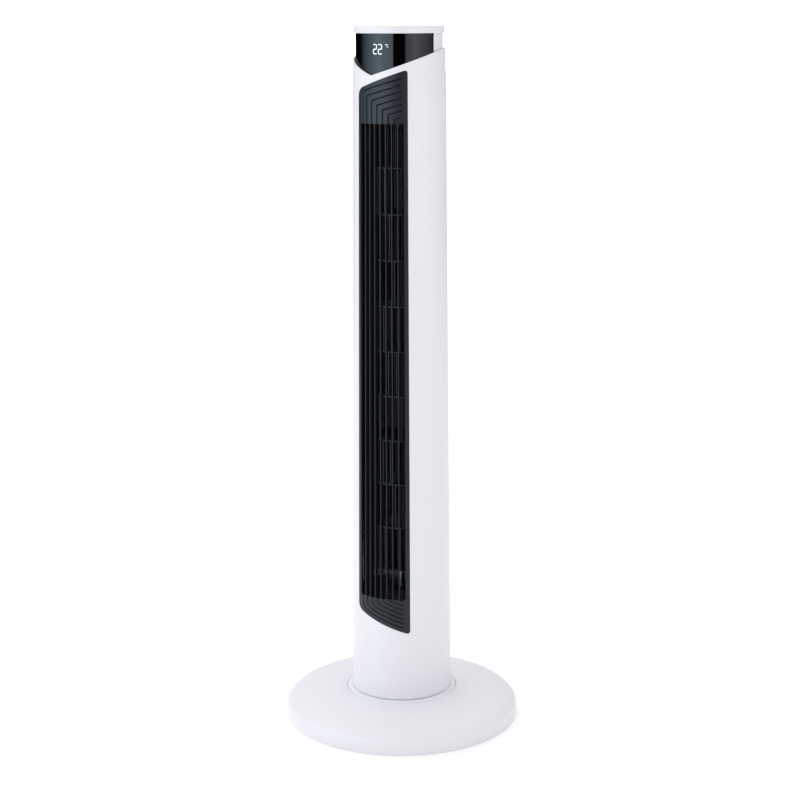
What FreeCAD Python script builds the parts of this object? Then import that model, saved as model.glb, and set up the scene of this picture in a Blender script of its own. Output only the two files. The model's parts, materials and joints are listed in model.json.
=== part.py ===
import FreeCAD, Part
import math
import os
import re
import Sketcher

# Tower fan: a round weighted base, a turntable that swings the column from side to side,
# a slender column of two shells round a cross-flow impeller, and a head with a display.
# Millimetres. The origin is the middle of the base on the floor, +Z is up, the front
# (air outlet and display) faces -Y. Angles round the column are counted from the front,
# positive towards +X.

SIZES = {
    # whole fan
    "overall_height": 930,
    "base_radius": 158,
    "foot_radius": 67.5,
    "top_radius": 59.3,
    "shell_wall": 2.2,
    "boss_inset": 7,
    "gap": 0.3,
    "running_gap": 0.05,
    # base
    "foot_pad_height": 13,
    "foot_pad_radius": 9,
    "rim_margin": 18,
    "rim_clearance": 0.8,
    "plate_thickness": 2.5,
    "rim_height": 19,
    "shoulder_inset": 12,
    "shoulder_height": 29.5,
    "dome_height": 38.5,
    "cover_wall": 2.5,
    "well_floor": 26,
    "boss_radius": 3.4,
    "ballast_gap": 10.3,
    "ballast_thickness": 8,
    "gland_radius": 5.5,
    "gland_bore": 3.4,
    "gland_length": 14,
    "gland_level": 21.2,
    # turntable
    "foot_level": 40,
    "turntable_rim": 7.1,
    "turntable_plate": 3,
    "hub_radius": 43.4,
    "hub_wall": 2.9,
    "hub_low": 19,
    "glide_inner": 50,
    "glide_outer": 70,
    "glide_top": 32.4,
    # swing drive
    "gear_module": 1.25,
    "gear_teeth": 24,
    "pinion_teeth": 14,
    "gear_low": 23,
    "gear_high": 32,
    "gear_bore": 8,
    "stepper_radius": 14,
    "stepper_height": 19,
    "stepper_shaft": 2.5,
    # lower frame and fan motor
    "frame_gap": 2,
    "frame_wall": 2.5,
    "frame_height": 135,
    "platform_height": 65,
    "platform_thickness": 3,
    "grommet_height": 3,
    "motor_radius": 40,
    "motor_screw_inset": 7,
    "motor_shell_height": 14,
    "stator_height": 20,
    "stator_depth": 12.3,
    "air_gap": 0.4,
    "shaft_radius": 4,
    # impeller and duct
    "impeller_rise": 173,
    "impeller_radius": 42,
    "impeller_margin": 4,
    "impeller_segments": 10,
    "blade_count": 24,
    "blade_depth": 9,
    "blade_thickness": 1.2,
    "disc_thickness": 1.6,
    "end_plate": 3,
    "pin_radius": 3,
    "duct_wall": 1.8,
    "duct_mouth_inset": 7,
    "duct_throat_gap": 2.6,
    # shells
    "seam_angle": 105,
    "shell_drop": 18.7,
    "cut_turn": 26,
    "right_cut_drop": 39.1,
    "right_cut_slope": 0.344,
    "left_cut_drop": 46.5,
    "left_cut_slope": 0.372,
    # outlet window and grille
    "window_angle": 35.2,
    "window_drop": 56.7,
    "window_top_slope": 0.358,
    "window_rise": 107.2,
    "window_low_slope": 0.37,
    "slats_drop": 53,
    "slats_rise": 142,
    "slats_angle": 30,
    "slat_pitch": 7.5,
    "slat_count": 7,
    "slat_thickness": 1.5,
    "slat_depth": 7,
    "grille_recess": 0.5,
    "grille_wall": 2.1,
    "lip_thickness": 1.8,
    # inlet in the rear shell and carrying recess
    "inlet_pitch": 12,
    "inlet_slot": 6,
    "inlet_half_width": 46,
    "inlet_spine": 8,
    "handle_clear": 2,
    "handle_height": 26,
    "handle_half_width": 38,
    "handle_depth": 26,
    "handle_wall": 2,
    # head
    "cap_thickness": 9,
    "cap_inset": 0.9,
    "neck_inset": 3.4,
    "lens_wall": 2.5,
    "lens_angle": 76,
    "head_wall": 2.3,
    "head_depth": 59,
    "button_radius": 7,
    "button_spacing": 17.5,
    "button_setback": 12,
    "button_travel": 1,
    "board_thickness": 1.6,
    "post_inset": 10.4,
}

doc = FreeCAD.newDocument("TowerFan")
sheet = doc.addObject("Spreadsheet::Sheet", "Sizes")
for row, (alias, number) in enumerate(SIZES.items(), start=1):
    sheet.set(f"A{row}", alias)
    sheet.set(f"B{row}", str(number))
    sheet.setAlias(f"B{row}", alias)
doc.recompute()

BUTTONS = ("power", "speed", "swing", "timer")
SUBPARTS = []
SCREW_SIZES = {"base": (3.2, 1.6, 10), "small": (1.9, 1.0, 5), "motor": (3.8, 1.9, 8), "shell": (3.4, 1.6, 14)}


# ---- small helpers -------------------------------------------------------------------

def size(alias):
    """The number held in the sheet under an alias."""
    return float(sheet.get(alias))


def bind(text):
    """Turn size names in a formula into references to the sheet."""
    def reference(word):
        return "Sizes." + word.group(0) if word.group(0) in SIZES else word.group(0)
    return re.sub(r"[a-z]\w*", reference, str(text))


def drive(feature, **formulas):
    """Bind properties of a feature to formulas; x, y, z and turn are its placement."""
    paths = {"x": "Placement.Base.x", "y": "Placement.Base.y", "z": "Placement.Base.z",
             "turn": "Placement.Rotation.Angle"}
    for name, formula in formulas.items():
        feature.setExpression(paths.get(name, name), bind(formula))
    return feature


def keep(feature, name):
    """List a finished feature as a sub-part, under its own label."""
    feature.Label = name
    SUBPARTS.append(feature)
    return feature


def make(kind, name):
    return doc.addObject(kind, name)


def rod(name, radius, low, high, x="0", y="0"):
    """Upright cylinder between two levels."""
    part = make("Part::Cylinder", name)
    return drive(part, Radius=radius, Height=f"({high}) - ({low})", x=x, y=y, z=low)


def bar(name, radius, x, y, z, length):
    """Cylinder that points along +Y from its start."""
    part = make("Part::Cylinder", name)
    part.Placement.Rotation = FreeCAD.Rotation(FreeCAD.Vector(1, 0, 0), -90)
    return drive(part, Radius=radius, Height=length, x=x, y=y, z=z)


def block(name, x, y, z):
    """Box between pairs of limits, one pair for each direction."""
    part = make("Part::Box", name)
    drive(part, Length=f"({x[1]}) - ({x[0]})", Width=f"({y[1]}) - ({y[0]})", Height=f"({z[1]}) - ({z[0]})")
    return drive(part, x=x[0], y=y[0], z=z[0])


def tube(name, inner, outer, low, high):
    return cut(name, rod(name + "_outer", outer, low, high), rod(name + "_inner", inner, low, high))


def group(name, parts):
    part = make("Part::Compound", name)
    part.Links = parts
    return part


def cut(name, base, *tools):
    part = make("Part::Cut", name)
    part.Base = base
    part.Tool = tools[0] if len(tools) == 1 else group(name + "_tools", list(tools))
    return part


def fuse(name, *parts):
    part = make("Part::MultiFuse", name)
    part.Shapes = list(parts)
    return part


def common(name, *parts):
    part = make("Part::MultiCommon", name)
    part.Shapes = list(parts)
    return part


def origin_plane(body, role):
    return [item for item in body.Origin.OriginFeatures if item.Role == role][0]


def outline(body, plane, corners):
    """Closed polygon sketch whose every corner is bound to formulas."""
    sketch = body.newObject("Sketcher::SketchObject", body.Name + "_outline")
    sketch.AttachmentSupport = (origin_plane(body, plane), [""])
    sketch.MapMode = "FlatFace"
    count = len(corners)
    for i in range(count):
        start = 2 * math.pi * i / count
        stop = 2 * math.pi * (i + 1) / count
        first = FreeCAD.Vector(50 * math.cos(start), 50 * math.sin(start), 0)
        second = FreeCAD.Vector(50 * math.cos(stop), 50 * math.sin(stop), 0)
        sketch.addGeometry(Part.LineSegment(first, second))
    for i in range(count):
        sketch.addConstraint(Sketcher.Constraint("Coincident", i, 2, (i + 1) % count, 1))
    for i, corner in enumerate(corners):
        for direction, formula in zip(("DistanceX", "DistanceY"), corner):
            index = sketch.addConstraint(Sketcher.Constraint(direction, -1, 1, i, 1, 1.0))
            sketch.setExpression(f"Constraints[{index}]", bind(f"{formula} + 0"))
    return sketch


def turned(name, corners):
    """Body of revolution about Z; corners are (radius, height)."""
    body = make("PartDesign::Body", name)
    sketch = outline(body, "XZ_Plane", corners)
    feature = body.newObject("PartDesign::Revolution", name + "_turn")
    feature.Profile = sketch
    feature.ReferenceAxis = (sketch, ["V_Axis"])
    feature.Angle = 360
    return body


def padded(name, corners, length, both_ways=False):
    """Body whose front-view outline, (x, z), is padded towards the front."""
    body = make("PartDesign::Body", name)
    feature = body.newObject("PartDesign::Pad", name + "_pad")
    feature.Profile = outline(body, "XZ_Plane", corners)
    feature.setExpression("Length", bind(length))
    if both_ways:
        feature.SideType = "Symmetric"
    return body


def round_edges(body, radius, chosen):
    """Fillet the edges of a body's last feature that a test picks."""
    doc.recompute()
    last = body.Tip
    names = [f"Edge{i}" for i, edge in enumerate(last.Shape.Edges, start=1) if chosen(edge)]
    if not names:
        raise RuntimeError(f"{body.Name}: no edge to round")
    feature = body.newObject("PartDesign::Fillet", f"{body.Name}_round")
    feature.Base = (last, names)
    feature.Radius = radius
    return body


def circle_edge(radius, level):
    """Test for a full circle about Z with this radius at this height."""
    def test(edge):
        curve = edge.Curve
        if not isinstance(curve, Part.Circle):
            return False
        return abs(curve.Radius - radius) < 0.01 and abs(edge.BoundBox.ZMax - level) < 0.01
    return test


def screw(name, kind, x, y, head, side=1):
    """Upright screw: the head's bearing face is at a level, the shank goes up for side 1."""
    head_radius, shank_radius, length = SCREW_SIZES[kind]
    if side > 0:
        top = rod(name + "_head", head_radius, f"{head} - {shank_radius}", head, x, y)
        shank = rod(name + "_shank", shank_radius, head, f"{head} + {length}", x, y)
    else:
        top = rod(name + "_head", head_radius, head, f"{head} + {shank_radius}", x, y)
        shank = rod(name + "_shank", shank_radius, f"{head} - {length}", head, x, y)
    return fuse(name, top, shank)


def screw_hole(name, kind, x, y, head, side=1):
    """Clearance hole for a screw's shank."""
    shank_radius, length = SCREW_SIZES[kind][1:]
    low, high = (f"{head} - 1", f"{head} + {length + 1}") if side > 0 else (f"{head} - {length + 1}", f"{head} + 1")
    return rod(name, f"{shank_radius} + running_gap", low, high, x, y)


def around(radius, angle):
    """x and y formulas of a point on a circle, the angle counted from the front."""
    return f"({radius}) * sin({angle})", f"-({radius}) * cos({angle})"


# ---- levels and radii that several pieces share --------------------------------------

PLATE_TOP = "(foot_pad_height + plate_thickness)"
TURNTABLE = "(foot_radius + turntable_rim)"
WELL = f"({TURNTABLE} + 2 * gap)"
WELL_BORE = "(hub_radius + 2 * gap)"
BASE_SCREWS = f"({WELL} + cover_wall + boss_radius + 0.4)"
ROTOR = "(motor_radius - stator_depth - air_gap)"
NECK = "(top_radius - neck_inset)"
SKIRT = f"({NECK} - lens_wall - head_wall - 2 * gap)"
CAP = "(overall_height - cap_thickness)"
SHELL_LOW = "(foot_level + gap)"
SHELL_TOP = f"({CAP} - shell_drop)"
HEAD_LOW = f"({CAP} - head_depth)"
SLATS_TOP = f"({HEAD_LOW} - slats_drop)"
WINDOW_TOP = f"({CAP} - window_drop)"
WINDOW_LOW = "(foot_level + window_rise)"
SLATS_LOW = "(foot_level + slats_rise)"
IMPELLER_LOW = "(foot_level + impeller_rise)"
IMPELLER_TOP = f"({SLATS_TOP} + impeller_margin)"
BRACKET = f"({IMPELLER_TOP} + 5)"
FRAME_TOP = "(foot_level + frame_height)"
PLATFORM = "(foot_level + platform_height)"
MOTOR_LOW = f"({PLATFORM} + grommet_height)"
STATOR_LOW = f"({MOTOR_LOW} + motor_shell_height)"
STATOR_TOP = f"({STATOR_LOW} + stator_height)"
MOTOR_TOP = f"({STATOR_TOP} + motor_shell_height)"
GEAR_CENTRES = "(gear_module * (gear_teeth + pinion_teeth) / 2)"
HANDLE_MID = f"({HEAD_LOW} - handle_clear - handle_wall - handle_height / 2)"
TURNTABLE_UNDER = "(foot_level - turntable_plate)"
BUTTON_WALL = "(overall_height - 5)"
SWITCH_BOARD = f"({CAP} - 8)"
LIP_BACK = "shell_wall + gap + lip_thickness"
BOSS_INSET = "shell_wall + boss_inset"
SEAM = "(-foot_radius * cos(seam_angle))"
FRONT_BOSS = (f"{SEAM} - 15.5", f"{SEAM} - 5.5")
REAR_BOSS = (f"{SEAM} - 5.5 + gap", f"{SEAM} + 4.5 + gap")


def column(level, inset="0"):
    """Radius of the tapering column at a level, less an inset."""
    rise = f"(({level}) - foot_level) / ({CAP} - foot_level)"
    return f"(foot_radius - (foot_radius - top_radius) * {rise} - ({inset}))"


FRAME = column(FRAME_TOP, "shell_wall + boss_inset + boss_radius + frame_gap")


def sleeve(name, outer_inset, inner_inset, low, high, middle, half):
    """Tapering wall that follows the column, for an arc of angles about a middle."""
    solid = make("Part::Cone", name + "_outer")
    drive(solid, Radius1=column(low, outer_inset), Radius2=column(high, outer_inset), z=low)
    drive(solid, Height=f"({high}) - ({low})", Angle=f"2 * ({half})", turn=f"{middle} - 90 - ({half})")
    hollow = make("Part::Cone", name + "_inner")
    drive(hollow, Radius1=column(low, inner_inset), Radius2=column(high, inner_inset), z=low)
    drive(hollow, Height=f"({high}) - ({low})")
    return cut(name, solid, hollow)


# ---- base ------------------------------------------------------------------------------

def make_base_cover():
    """Domed cover with a rolled rim and a well for the turntable."""
    inner_well = f"{WELL} + cover_wall"
    rim = "base_radius - cover_wall"
    body = turned("cover_shell", [
        ("base_radius", "rim_clearance"),
        ("base_radius", "rim_height"),
        ("base_radius - shoulder_inset", "shoulder_height"),
        (f"(base_radius - shoulder_inset + {WELL}) / 2", "(shoulder_height + dome_height) / 2 + 1.6"),
        (WELL, "dome_height"),
        (WELL, "well_floor"),
        (WELL_BORE, "well_floor"),
        (WELL_BORE, "well_floor - cover_wall"),
        (inner_well, "well_floor - cover_wall"),
        (inner_well, "dome_height - cover_wall"),
        ("base_radius - shoulder_inset - 1", "shoulder_height - cover_wall - 0.4"),
        (rim, "rim_height - 1"),
        (rim, "rim_clearance"),
    ])
    round_edges(body, 5, circle_edge(size("base_radius"), size("rim_height")))
    shoulder = size("base_radius") - size("shoulder_inset")
    round_edges(body, 18, circle_edge(shoulder, size("shoulder_height")))
    bosses = [rod(f"cover_boss_{i}", "boss_radius", PLATE_TOP, "dome_height - cover_wall / 2",
                  *around(BASE_SCREWS, 60 * i + 30)) for i in range(6)]
    holes = [screw_hole(f"cover_hole_{i}", "base", *around(BASE_SCREWS, 60 * i + 30), "foot_pad_height")
             for i in range(6)]
    gland = bar("cover_gland_hole", "gland_radius + gap", "0", "base_radius - 30", "gland_level", "40")
    keep(cut("base_cover", fuse("cover_with_bosses", body, *bosses), gland, *holes), "base_cover")


def make_base_plate():
    """Flat plate that closes the underside and carries the pads."""
    disc = rod("plate_disc", "base_radius - cover_wall - gap", "foot_pad_height", PLATE_TOP)
    holes = [screw_hole(f"plate_hole_{i}", "base", *around(BASE_SCREWS, 60 * i + 30), "foot_pad_height")
             for i in range(6)]
    keep(cut("base_plate", disc, *holes), "base_plate")


def make_base_fittings():
    """Ballast, rubber pads, screws, glide ring and the cord's gland."""
    keep(tube("ballast_ring", f"{WELL} + cover_wall + ballast_gap", "base_radius - rim_margin", PLATE_TOP,
              f"{PLATE_TOP} + ballast_thickness"), "ballast_ring")
    pads = [rod(f"pad_{i}", "foot_pad_radius", "0", "foot_pad_height", *around("base_radius - rim_margin", 60 * i))
            for i in range(6)]
    keep(group("rubber_feet", pads), "rubber_feet")
    screws = [screw(f"base_screw_{i}", "base", *around(BASE_SCREWS, 60 * i + 30), "foot_pad_height")
              for i in range(6)]
    keep(group("base_screws", screws), "base_screws")
    keep(tube("glide_ring", "glide_inner", "glide_outer", "well_floor", "glide_top"), "glide_ring")
    start = "base_radius - gland_length - 0.5"
    body = bar("gland_body", "gland_radius", "0", start, "gland_level", "gland_length")
    bore = bar("gland_hole", "gland_bore", "0", f"{start} - 1", "gland_level", "gland_length + 2")
    keep(cut("cord_gland", body, bore), "cord_gland")


# ---- swing drive -----------------------------------------------------------------------

def gear_face(teeth, module, backlash=0.25):
    """Face of an external gear with involute flanks, one tooth centred on +X."""
    pressure = math.radians(20)
    pitch = teeth * module / 2
    flank_start = pitch * math.cos(pressure)
    tip = pitch + 0.9 * module
    root = pitch - 1.2 * module
    half = math.pi / (2 * teeth) - backlash / (2 * pitch) + math.tan(pressure) - pressure
    points = []
    for tooth in range(teeth):
        middle = 2 * math.pi * tooth / teeth
        flank = [(root, half)]
        for step in range(5):
            radius = max(flank_start, root) + (tip - max(flank_start, root)) * step / 4
            angle = math.acos(min(1.0, flank_start / radius))
            flank.append((radius, half - (math.tan(angle) - angle)))
        for radius, offset in flank:
            points.append(FreeCAD.Vector(radius * math.cos(middle - offset), radius * math.sin(middle - offset), 0))
        for radius, offset in reversed(flank):
            points.append(FreeCAD.Vector(radius * math.cos(middle + offset), radius * math.sin(middle + offset), 0))
    return Part.Face(Part.makePolygon(points + points[:1]))


def raised(name, face, low, high):
    """Extrude a flat face between two levels."""
    profile = make("Part::Feature", name + "_face")
    profile.Shape = face
    part = make("Part::Extrusion", name)
    part.Base = profile
    part.DirMode = "Custom"
    part.Dir = FreeCAD.Vector(0, 0, 1)
    part.Solid = True
    return drive(part, LengthFwd=f"({high}) - ({low})", z=low)


def make_swing_drive():
    """Fixed gear on the base, and a stepper motor whose pinion walks round it."""
    module = size("gear_module")
    teeth = int(size("gear_teeth"))
    pinion_teeth = int(size("pinion_teeth"))
    gear = raised("gear_teeth_ring", gear_face(teeth, module), "gear_low", "gear_high")
    gear.Placement.Rotation = FreeCAD.Rotation(FreeCAD.Vector(0, 0, 1), 90)
    post = rod("gear_post", "gear_bore + 3.5", PLATE_TOP, "gear_low")
    flange = rod("gear_flange", "gear_bore + 16", PLATE_TOP, f"{PLATE_TOP} + 2.5")
    bore = rod("gear_hole", "gear_bore", f"{PLATE_TOP} - 1", "gear_high + 1")
    keep(cut("swing_gear", fuse("gear_solid", gear, post, flange), bore), "swing_gear")

    pinion = raised("pinion_teeth_ring", gear_face(pinion_teeth, module), "gear_low + 0.5", "gear_high - 0.5")
    pinion.Placement.Rotation = FreeCAD.Rotation(FreeCAD.Vector(0, 0, 1), -90 + 180 / pinion_teeth)
    drive(pinion, y=GEAR_CENTRES)
    shaft_hole = rod("pinion_hole", "stepper_shaft", "gear_low", "gear_high", "0", GEAR_CENTRES)
    keep(cut("swing_pinion", pinion, shaft_hole), "swing_pinion")
    keep(rod("swing_shaft", "stepper_shaft", "gear_low", "foot_level + stepper_height - 4", "0", GEAR_CENTRES),
         "swing_shaft")

    can = rod("stepper_can", "stepper_radius", "foot_level", "foot_level + stepper_height", "0", GEAR_CENTRES)
    ears = block("stepper_ears", ("-stepper_radius - 7", "stepper_radius + 7"),
                 (f"{GEAR_CENTRES} - 3.5", f"{GEAR_CENTRES} + 3.5"), ("foot_level", "foot_level + 1.5"))
    bore = rod("stepper_hole", "stepper_shaft + running_gap", "foot_level - 1", "foot_level + stepper_height - 3",
               "0", GEAR_CENTRES)
    spots = [(f"{side} * (stepper_radius + 3.5)", GEAR_CENTRES) for side in (-1, 1)]
    holes = [screw_hole(f"ear_hole_{i}", "small", *spot, "foot_level + 1.5", -1) for i, spot in enumerate(spots)]
    keep(cut("swing_motor", fuse("stepper_solid", can, ears), bore, *holes), "swing_motor")
    screws = [screw(f"swing_screw_{i}", "small", *spot, "foot_level + 1.5", -1) for i, spot in enumerate(spots)]
    keep(group("swing_motor_screws", screws), "swing_motor_screws")
    return [screw_hole(f"plate_ear_hole_{i}", "small", *spot, "foot_level + 1.5", -1)
            for i, spot in enumerate(spots)]


# ---- turntable ---------------------------------------------------------------------------

def make_turntable(ear_holes):
    """Disc flush with the dome, with a hub through the well and a rib on the glide ring."""
    skirt_low = "glide_top - 3"
    body = turned("turntable_disc", [
        ("gear_bore", "foot_level"),
        ("foot_radius + 1.5", "foot_level"),
        (TURNTABLE, "dome_height"),
        (TURNTABLE, skirt_low),
        (f"{TURNTABLE} - 2.4", skirt_low),
        (f"{TURNTABLE} - 2.4", TURNTABLE_UNDER),
        ("glide_outer - 2", TURNTABLE_UNDER),
        ("glide_outer - 2", "glide_top + gap"),
        ("glide_inner + 2", "glide_top + gap"),
        ("glide_inner + 2", TURNTABLE_UNDER),
        ("hub_radius", TURNTABLE_UNDER),
        ("hub_radius", "hub_low"),
        ("hub_radius - hub_wall", "hub_low"),
        ("hub_radius - hub_wall", TURNTABLE_UNDER),
        ("gear_bore", TURNTABLE_UNDER),
    ])
    shaft = rod("turntable_shaft_hole", "stepper_shaft + 1", "foot_level - 10", "foot_level + 1", "0", GEAR_CENTRES)
    spots = [around("hub_radius - hub_wall / 2", 90 * i + 45) for i in range(4)]
    holes = [screw_hole(f"hub_hole_{i}", "small", *spot, "hub_low - 2") for i, spot in enumerate(spots)]
    keep(cut("turntable", body, shaft, *ear_holes, *holes), "turntable")

    ring = turned("retainer_solid", [
        ("hub_radius - 7.4", "hub_low - 2"),
        (f"{WELL_BORE} + 6", "hub_low - 2"),
        (f"{WELL_BORE} + 6", "well_floor - cover_wall - gap"),
        ("hub_radius + 0.1", "well_floor - cover_wall - gap"),
        ("hub_radius + 0.1", "hub_low"),
        ("hub_radius - 7.4", "hub_low"),
    ])
    holes = [screw_hole(f"retainer_hole_{i}", "small", *spot, "hub_low - 2") for i, spot in enumerate(spots)]
    keep(cut("retainer_ring", ring, *holes), "retainer_ring")
    screws = [screw(f"retainer_screw_{i}", "small", *spot, "hub_low - 2") for i, spot in enumerate(spots)]
    keep(group("retainer_screws", screws), "retainer_screws")


# ---- lower frame, motor and electronics ------------------------------------------------

def make_lower_frame():
    """Tube on the turntable with a platform that carries the fan motor."""
    inside = f"{FRAME} - frame_wall"
    under = f"{PLATFORM} - platform_thickness"
    body = turned("frame_solid", [
        (inside, "foot_level"),
        (FRAME, "foot_level"),
        (FRAME, FRAME_TOP),
        (inside, FRAME_TOP),
        (inside, PLATFORM),
        ("shaft_radius + 10", PLATFORM),
        ("shaft_radius + 10", under),
        (inside, under),
    ])
    window = block("frame_window", ("-25", "25"), ("-80", "80"), ("foot_level + 12", f"{under} - 10"))
    upper = block("frame_upper_window", ("-25", "25"), ("-80", "80"), (f"{PLATFORM} + 8", f"{FRAME_TOP} - 12"))
    spots = [around("motor_radius - motor_screw_inset", 90 * i + 45) for i in range(4)]
    holes = [screw_hole(f"platform_hole_{i}", "motor", *spot, under) for i, spot in enumerate(spots)]
    keep(cut("lower_frame", body, window, upper, *holes), "lower_frame")
    rings = [cut(f"grommet_{i}", rod(f"grommet_{i}_body", 6, PLATFORM, MOTOR_LOW, *spot),
                 screw_hole(f"grommet_{i}_hole", "motor", *spot, under)) for i, spot in enumerate(spots)]
    keep(group("motor_grommets", rings), "motor_grommets")
    screws = [screw(f"motor_screw_{i}", "motor", *spot, under) for i, spot in enumerate(spots)]
    keep(group("motor_screws", screws), "motor_screws")
    return [screw_hole(f"motor_hole_{i}", "motor", *spot, under) for i, spot in enumerate(spots)]


def motor_cup(name, floor, mouth, up):
    """Half of the motor's case: a cup with a bearing boss, opening up or down."""
    sign = "+" if up else "-"
    bore = "shaft_radius + running_gap"
    return turned(name, [
        (bore, floor),
        ("motor_radius", floor),
        ("motor_radius", mouth),
        ("motor_radius - 2.5", mouth),
        ("motor_radius - 2.5", f"{floor} {sign} 2.5"),
        ("shaft_radius + 5", f"{floor} {sign} 2.5"),
        ("shaft_radius + 5", f"{floor} {sign} 5"),
        (bore, f"{floor} {sign} 5"),
    ])


def make_motor(holes):
    """Capacitor motor: two case halves, stator, windings and, on the shaft, the rotor."""
    keep(cut("motor_lower_case", motor_cup("lower_cup", MOTOR_LOW, STATOR_LOW, True), *holes), "motor_lower_case")
    keep(motor_cup("motor_upper_case", MOTOR_TOP, STATOR_TOP, False), "motor_upper_case")
    keep(tube("motor_stator", "motor_radius - stator_depth", "motor_radius", STATOR_LOW, STATOR_TOP), "motor_stator")
    coil_inner, coil_outer = f"{ROTOR} + 2", "motor_radius - 3.5"
    coils = [tube("lower_coil", coil_inner, coil_outer, f"{STATOR_LOW} - 7", STATOR_LOW),
             tube("upper_coil", coil_inner, coil_outer, STATOR_TOP, f"{STATOR_TOP} + 7")]
    keep(group("motor_windings", coils), "motor_windings")
    keep(tube("motor_rotor", "shaft_radius", ROTOR, f"{STATOR_LOW} + 1", f"{STATOR_TOP} - 1"), "motor_rotor")
    keep(rod("drive_shaft", "shaft_radius", f"{MOTOR_LOW} + 0.5", f"{IMPELLER_LOW} + 11"), "drive_shaft")


def make_electronics():
    """Control board and motor capacitor in the foot of the column."""
    keep(block("control_board", ("-30", "30"), ("-30", "-30 + board_thickness"),
               ("foot_level", "foot_level + 50")), "control_board")
    keep(block("motor_capacitor", ("-28", "-12"), ("-30 + board_thickness", "-16"),
               ("foot_level + 18", "foot_level + 44")), "motor_capacitor")


# ---- impeller and duct -------------------------------------------------------------------

def blade_face(angle):
    """Forward-curved blade section between the impeller's inner and outer circles."""
    outer = size("impeller_radius") - 0.4
    inner = outer - size("blade_depth")
    middle = (outer + inner) / 2
    half = size("blade_thickness") / 2

    def point(radius, lead, shift):
        turn = angle + lead
        return FreeCAD.Vector((radius + shift) * math.cos(turn), (radius + shift) * math.sin(turn), 0)

    lean = math.radians(13)
    bow = math.radians(2.2)
    front = Part.Arc(point(inner, 0, 0), point(middle, lean / 2 - bow, -half), point(outer, lean, 0))
    back = Part.Arc(point(outer, lean - 2 * half / outer, 0), point(middle, lean / 2 - bow - 2 * half / middle, half),
                    point(inner, -2 * half / inner, 0))
    ends = [Part.makeLine(front.EndPoint, back.StartPoint), Part.makeLine(back.EndPoint, front.StartPoint)]
    return Part.Face(Part.Wire([front.toShape(), ends[0], back.toShape(), ends[1]]))


def make_impeller():
    """Cross-flow impeller: a drum of blades stiffened by rings, with a hub and a pin."""
    count = int(size("blade_count"))
    faces = Part.makeCompound([blade_face(2 * math.pi * i / count) for i in range(count)])
    blades = raised("blade_drum", faces, IMPELLER_LOW, IMPELLER_TOP)
    rings = []
    segments = int(size("impeller_segments"))
    for i in range(1, segments):
        low = f"{IMPELLER_LOW} + ({IMPELLER_TOP} - {IMPELLER_LOW}) * {i} / {segments} - disc_thickness / 2"
        rings.append(tube(f"impeller_ring_{i}", "impeller_radius - blade_depth - 3", "impeller_radius",
                          low, f"{low} + disc_thickness"))
    bottom = rod("impeller_bottom", "impeller_radius", IMPELLER_LOW, f"{IMPELLER_LOW} + end_plate")
    top = rod("impeller_top", "impeller_radius", f"{IMPELLER_TOP} - end_plate", IMPELLER_TOP)
    hub = rod("impeller_hub", "shaft_radius + 6", f"{IMPELLER_LOW} - 4", f"{IMPELLER_LOW} + 14")
    bore = rod("impeller_bore", "shaft_radius", f"{IMPELLER_LOW} - 5", f"{IMPELLER_LOW} + 11")
    socket = rod("impeller_socket", "pin_radius", f"{IMPELLER_TOP} - end_plate - 1", f"{IMPELLER_TOP} + 1")
    solid = fuse("impeller_solid", blades, bottom, top, hub, *rings)
    keep(cut("impeller", solid, bore, socket), "impeller")
    keep(rod("upper_pin", "pin_radius", f"{IMPELLER_TOP} - end_plate", f"{BRACKET} + 6"), "upper_pin")


def wall_face(start, stop, start_radius, stop_radius, thickness):
    """Curved wall section whose radius grows evenly with the angle."""
    inner, outer = [], []
    steps = 8
    for i in range(steps + 1):
        angle = math.radians(start + (stop - start) * i / steps)
        radius = start_radius + (stop_radius - start_radius) * i / steps
        inner.append(FreeCAD.Vector(radius * math.sin(angle), -radius * math.cos(angle), 0))
        radius += thickness
        outer.append(FreeCAD.Vector(radius * math.sin(angle), -radius * math.cos(angle), 0))
    near, far = Part.BSplineCurve(), Part.BSplineCurve()
    near.interpolate(inner)
    far.interpolate(outer)
    ends = [Part.makeLine(inner[-1], outer[-1]), Part.makeLine(inner[0], outer[0])]
    return Part.Face(Part.Wire([near.toShape(), ends[0], far.toShape(), ends[1]]))


def make_duct():
    """Scroll wall and tongue that lead the air forwards, with a floor and a top bracket."""
    wall = size("duct_wall")
    mouth = size("top_radius") - size("duct_mouth_inset")
    throat = size("impeller_radius") + size("duct_throat_gap")
    low, high = f"{FRAME_TOP} + 3", BRACKET
    scroll = wall_face(155, 42, throat, mouth, wall)
    tongue = wall_face(-78, -42, throat, mouth, wall)
    keep(raised("scroll_wall", scroll, low, high), "scroll_wall")
    keep(raised("tongue_wall", tongue, low, high), "tongue_wall")
    floor = rod("floor_disc", column(FRAME_TOP, f"{LIP_BACK} + gap"), FRAME_TOP, low)
    hole = rod("floor_hole", "shaft_radius + 8", f"{FRAME_TOP} - 1", f"{low} + 1")
    keep(cut("duct_floor", floor, hole), "duct_floor")
    keep(turned("bearing_bracket", [
        ("pin_radius + 5", f"{BRACKET} - 2"),
        ("pin_radius + 9", f"{BRACKET} - 2"),
        ("pin_radius + 9", BRACKET),
        (column(BRACKET, f"{LIP_BACK} + 2 * gap"), BRACKET),
        (column(BRACKET, f"{LIP_BACK} + 2 * gap"), f"{BRACKET} + 3"),
        ("pin_radius + 9", f"{BRACKET} + 3"),
        ("pin_radius + 9", f"{BRACKET} + 7"),
        ("pin_radius + 5", f"{BRACKET} + 7"),
    ]), "bearing_bracket")
    keep(tube("bearing_bush", "pin_radius + running_gap", "pin_radius + 5", f"{BRACKET} - 1", f"{BRACKET} + 7"),
         "bearing_bush")


# ---- shells ------------------------------------------------------------------------------

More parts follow.
